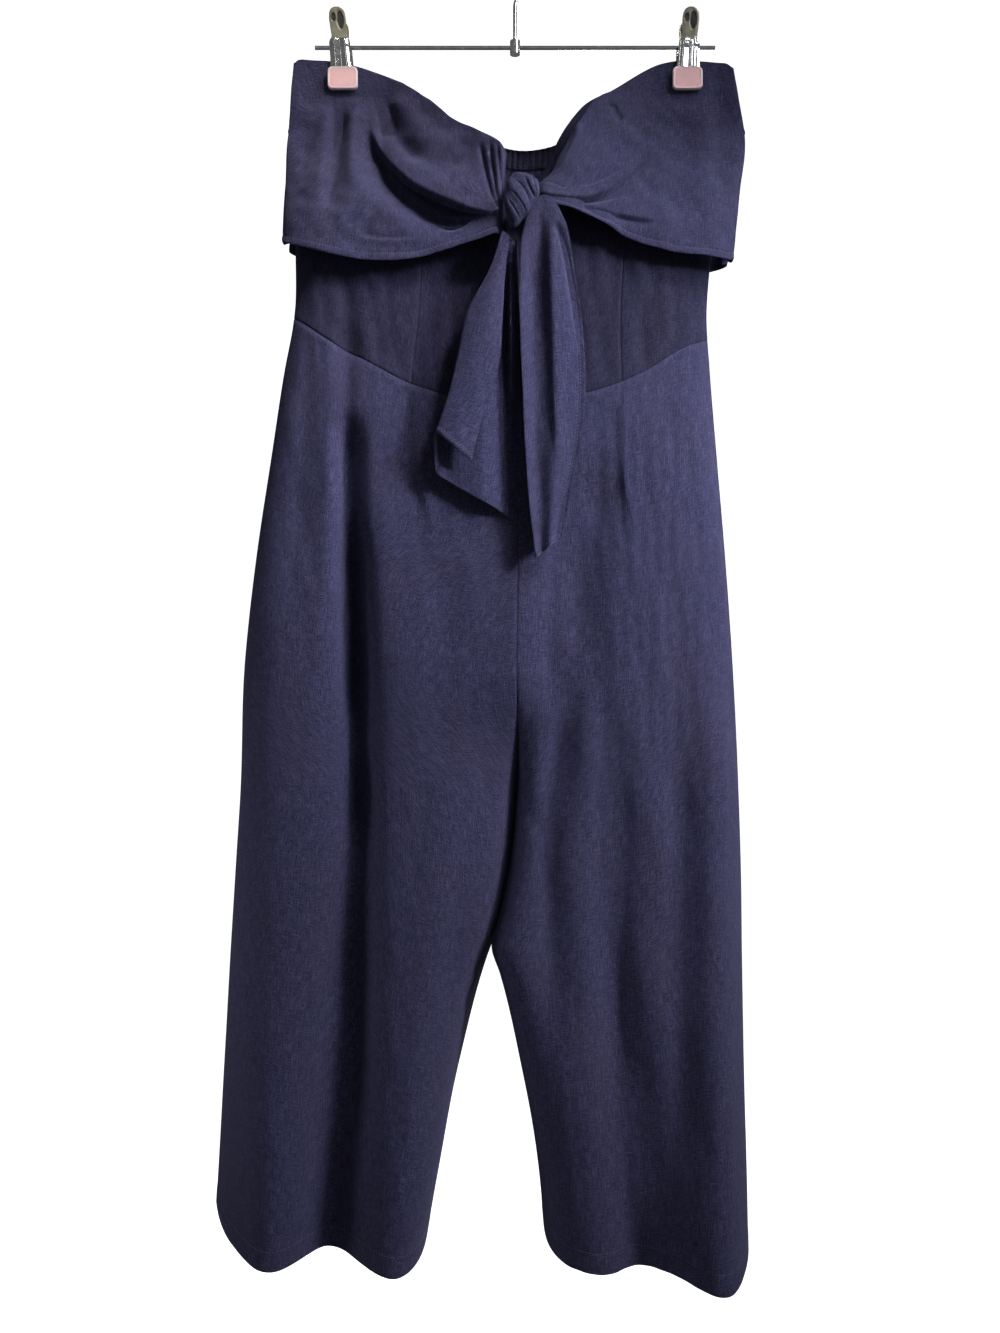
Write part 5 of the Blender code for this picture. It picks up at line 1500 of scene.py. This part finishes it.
def hollows(across, z):
    """1 inside the two pressed oval hollows of the tongue, 0 outside them."""
    total = np.zeros(np.broadcast(across, z).shape)
    for middle_x, middle_z, half_x, half_z in TONGUE_HOLLOWS:
        far = np.hypot((across - middle_x) / half_x, (z - middle_z) / half_z)
        total = np.maximum(total, 1.0 - smooth((far - HOLLOW_START) / HOLLOW_FADE))
    return total


def paint_tongue_reflection_and_shade(jaw, clip_x, lean):
    """The tongue's metal is duller than the sleeve's, olive as a painted warm reflection, with
    painted shade in its hollows.
    """
    jaw.data.materials.append(TONGUE_PAINTED_REFLECTION)
    jaw.data.materials.append(HOLLOW_PAINTED_SHADE)
    for polygon in jaw.data.polygons:
        x, _, z = polygon.center
        if z > TONGUE_Z:
            inside = float(hollows(x - clip_x - lean * (z - PAD_CENTRE_Z), z)) > 0.5
            polygon.material_index = 2 if inside else 1


def pad_outline():
    """The pad's outline with round corners, about its middle."""
    width, _, height = PAD_SIZE
    ring = []
    for quarter in range(4):
        centre_x = (width / 2.0 - PAD_CORNER) * (1 if quarter in (0, 3) else -1)
        centre_z = (height / 2.0 - PAD_CORNER) * (1 if quarter in (0, 1) else -1)
        for step in range(PAD_CORNER_STEPS + 1):
            angle = math.pi / 2.0 * (quarter + step / PAD_CORNER_STEPS)
            ring.append((centre_x + PAD_CORNER * math.cos(angle),
                         centre_z + PAD_CORNER * math.sin(angle)))
    return ring


def make_pad(node, clip_x, side):
    """A soft pad with round corners and a raised pale border, in two materials."""
    depth = PAD_SIZE[1]
    ring = pad_outline()
    around = len(ring)
    vertices = []
    for size, out in PAD_LOOPS:
        y = side * (PAD_INNER_Y + depth / 2.0 + out * depth)
        vertices += [(clip_x + x * size, y, PAD_CENTRE_Z + z * size) for x, z in ring]
    faces = ring_faces(len(PAD_LOOPS), around)
    faces.append(tuple(range(around))[::-1])
    faces.append(tuple(range((len(PAD_LOOPS) - 1) * around, len(PAD_LOOPS) * around)))
    if side == FRONT:
        faces = [face[::-1] for face in faces]
    mesh = bpy.data.meshes.new(node + "_rubber")
    mesh.from_pydata(vertices, [], faces)
    mesh.flip_normals()
    mesh.shade_smooth()
    mesh.set_sharp_from_angle(angle=math.radians(PAD_SHARP))
    pad = dress(add_object(node + "_rubber", mesh), PINK_RIM, "pad", node)
    mesh.materials.append(PINK)
    for polygon in mesh.polygons:
        if polygon.index >= PAD_RIM_LOOPS * around:
            polygon.material_index = 1
    return pad


def make_clip(name, clip_x, lean):
    for side, side_name in SIDE_NAMES.items():
        node = f"clip_{name}_jaw_{side_name}"
        jaw = wall(node + "_metal", jaw_grid(clip_x, lean, side), JAW_WALL)
        dress(jaw, CHROME, "chrome", node)
        paint_tongue_reflection_and_shade(jaw, clip_x, lean)
        make_pad(f"clip_{name}_pad_{side_name}", clip_x, side)
    steps = SPRING_TURNS * SPRING_STEPS
    spring = []
    for step in range(steps + 1):
        angle = 2.0 * math.pi * step / SPRING_STEPS
        spring.append((clip_x - SPRING_LENGTH / 2.0 + SPRING_LENGTH * step / steps,
                       SPRING_RADIUS * math.sin(angle), BAR_Z + SPRING_RADIUS * math.cos(angle)))
    tube(f"clip_{name}_spring_wire", spring, SPRING_WIRE, f"clip_{name}_spring")


# ---------------------------------------------------------------- stitching
def part(line, first, last):
    path, normals = line
    low, high = int(first * (len(path) - 1)), int(last * (len(path) - 1))
    return path[low:high + 1], normals[low:high + 1]


def make_stitching(cut):
    band = [part(cut["band_front_" + name].line("bottom", BAND_STITCH), *BAND_STITCHED)
            for name in ("left", "right")]
    band.append(cut["band_back"].line("bottom", BAND_STITCH))
    hems = [cut[f"trouser_{side}_{leg}"].line("bottom", TROUSER_STITCH)
            for side in ("front", "back") for leg in ("left", "right")]
    right, left = cut["tie_end_right"], cut["tie_end_left"]
    ends = [right.line("bottom", END_STITCH)]
    ends += [part(right.line("right", distance), *END_STITCHED) for distance in END_SIDE_STITCHES]
    ends += [left.line("bottom", distance) for distance in (END_STITCH, END_LOWER_STITCH)]
    casing = [cut["bodice_back_casing"].line("bottom", CASING_STITCH)]
    stitched = {"band": band, "trouser_hems": hems, "tie_ends": ends, "casing": casing}
    for seed, (name, lines) in enumerate(stitched.items(), STITCH_SEED):
        add_stitches("stitching_" + name, lines, seed)


# ---------------------------------------------------------------- room, light and camera
def make_backdrop():
    """A pale floor that rises into a round pale wall, all of one piece."""
    profile = [(radius, FLOOR_Z) for radius in FLOOR_RADII]
    profile += [(FLOOR_RADII[-1] + COVE * math.sin(angle), FLOOR_Z + COVE - COVE * math.cos(angle))
                for angle in np.linspace(COVE_START, math.pi / 2.0, COVE_STEPS)]
    profile += [(FLOOR_RADII[-1] + COVE, z) for z in WALL_HEIGHTS]
    turns = 2 * math.pi * np.arange(FLOOR_AROUND) / FLOOR_AROUND
    vertices = [(radius * math.cos(turn), radius * math.sin(turn), z)
                for radius, z in profile for turn in turns]
    mesh = bpy.data.meshes.new("studio_floor")
    mesh.from_pydata(vertices, [], ring_faces(len(profile), FLOOR_AROUND))
    mesh.shade_smooth()
    floor = add_object("studio_floor", mesh)
    nodes = Nodes("pale floor")
    nodes.set(Roughness=0.9, Emission_Strength=1.0, Base_Color=(0.90, 0.90, 0.90, 1.0),
              Emission_Color=(1.0, 1.0, 1.0, 1.0))
    mesh.materials.append(nodes.material)
    floor.visible_diffuse = False
    floor.visible_glossy = False
    floor.visible_shadow = False


def make_world():
    world = bpy.data.worlds.new("studio")
    world.use_nodes = True
    background = world.node_tree.nodes["Background"]
    background.inputs["Color"].default_value = WORLD_COLOUR
    background.inputs["Strength"].default_value = WORLD_STRENGTH
    bpy.context.scene.world = world


def add_lamp(name, place, target, power, shape, *size):
    light = bpy.data.lights.new(name, "AREA")
    light.shape = shape
    light.size = size[0]
    light.size_y = size[-1]
    light.energy = power
    lamp = add_object(name, light)
    lamp.location = place
    lamp.rotation_euler = (Vector(target) - Vector(place)).to_track_quat("-Z", "Y").to_euler()
    return lamp


def make_lights():
    make_world()
    for name, place, target, size, power, beam, colour in LAMPS:
        lamp = add_lamp(name, place, target, power, "DISK", size)
        lamp.data.spread = math.radians(beam)
        lamp.data.color = colour
    for name, place, target, wide, tall, power in STRIPS:
        lamp = add_lamp(name, place, target, power, "RECTANGLE", wide, tall)
        lamp.visible_diffuse = False


def make_camera():
    distance = -CAMERA_PLACE[1]
    camera = bpy.data.cameras.new("photo_camera")
    camera.sensor_width = SENSOR
    camera.lens = SENSOR * distance / (PHOTO_HEIGHT * METRES_A_PIXEL)
    camera.clip_start = CLIP_START
    placed = add_object("photo_camera", camera)
    placed.location = CAMERA_PLACE
    placed.rotation_euler = (math.pi / 2.0, 0.0, 0.0)
    bpy.context.scene.camera = placed


def make_cloth():
    cut = {}
    for leg in (LEFT, RIGHT):
        for side in (FRONT, BACK):
            cut.update(make_trouser_half(leg, side))
    for name, (first, last, columns) in BODICE_FRONTS.items():
        cut.update(make_bodice_front(name, first, last, columns))
    cut.update(make_bodice_back())
    cut.update(make_casing())
    for leg in (LEFT, RIGHT):
        cut.update(make_band_front(leg))
    cut.update(make_band_back())
    make_knot()
    cut.update(make_right_end())
    cut.update(make_left_end())
    return cut


def main():
    make_camera()
    make_lights()
    make_backdrop()
    bpy.context.scene.view_settings.view_transform = "Standard"
    cut = make_cloth()
    make_hook_and_bar()
    for name, clip_x, lean in zip(("left", "right"), CLIP_X, CLIP_LEAN):
        make_clip(name, clip_x, lean)
    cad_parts["hanger_boss"].material_slots[0].link = "OBJECT"
    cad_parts["hanger_boss"].material_slots[0].material = CHROME
    make_stitching(cut)


main()
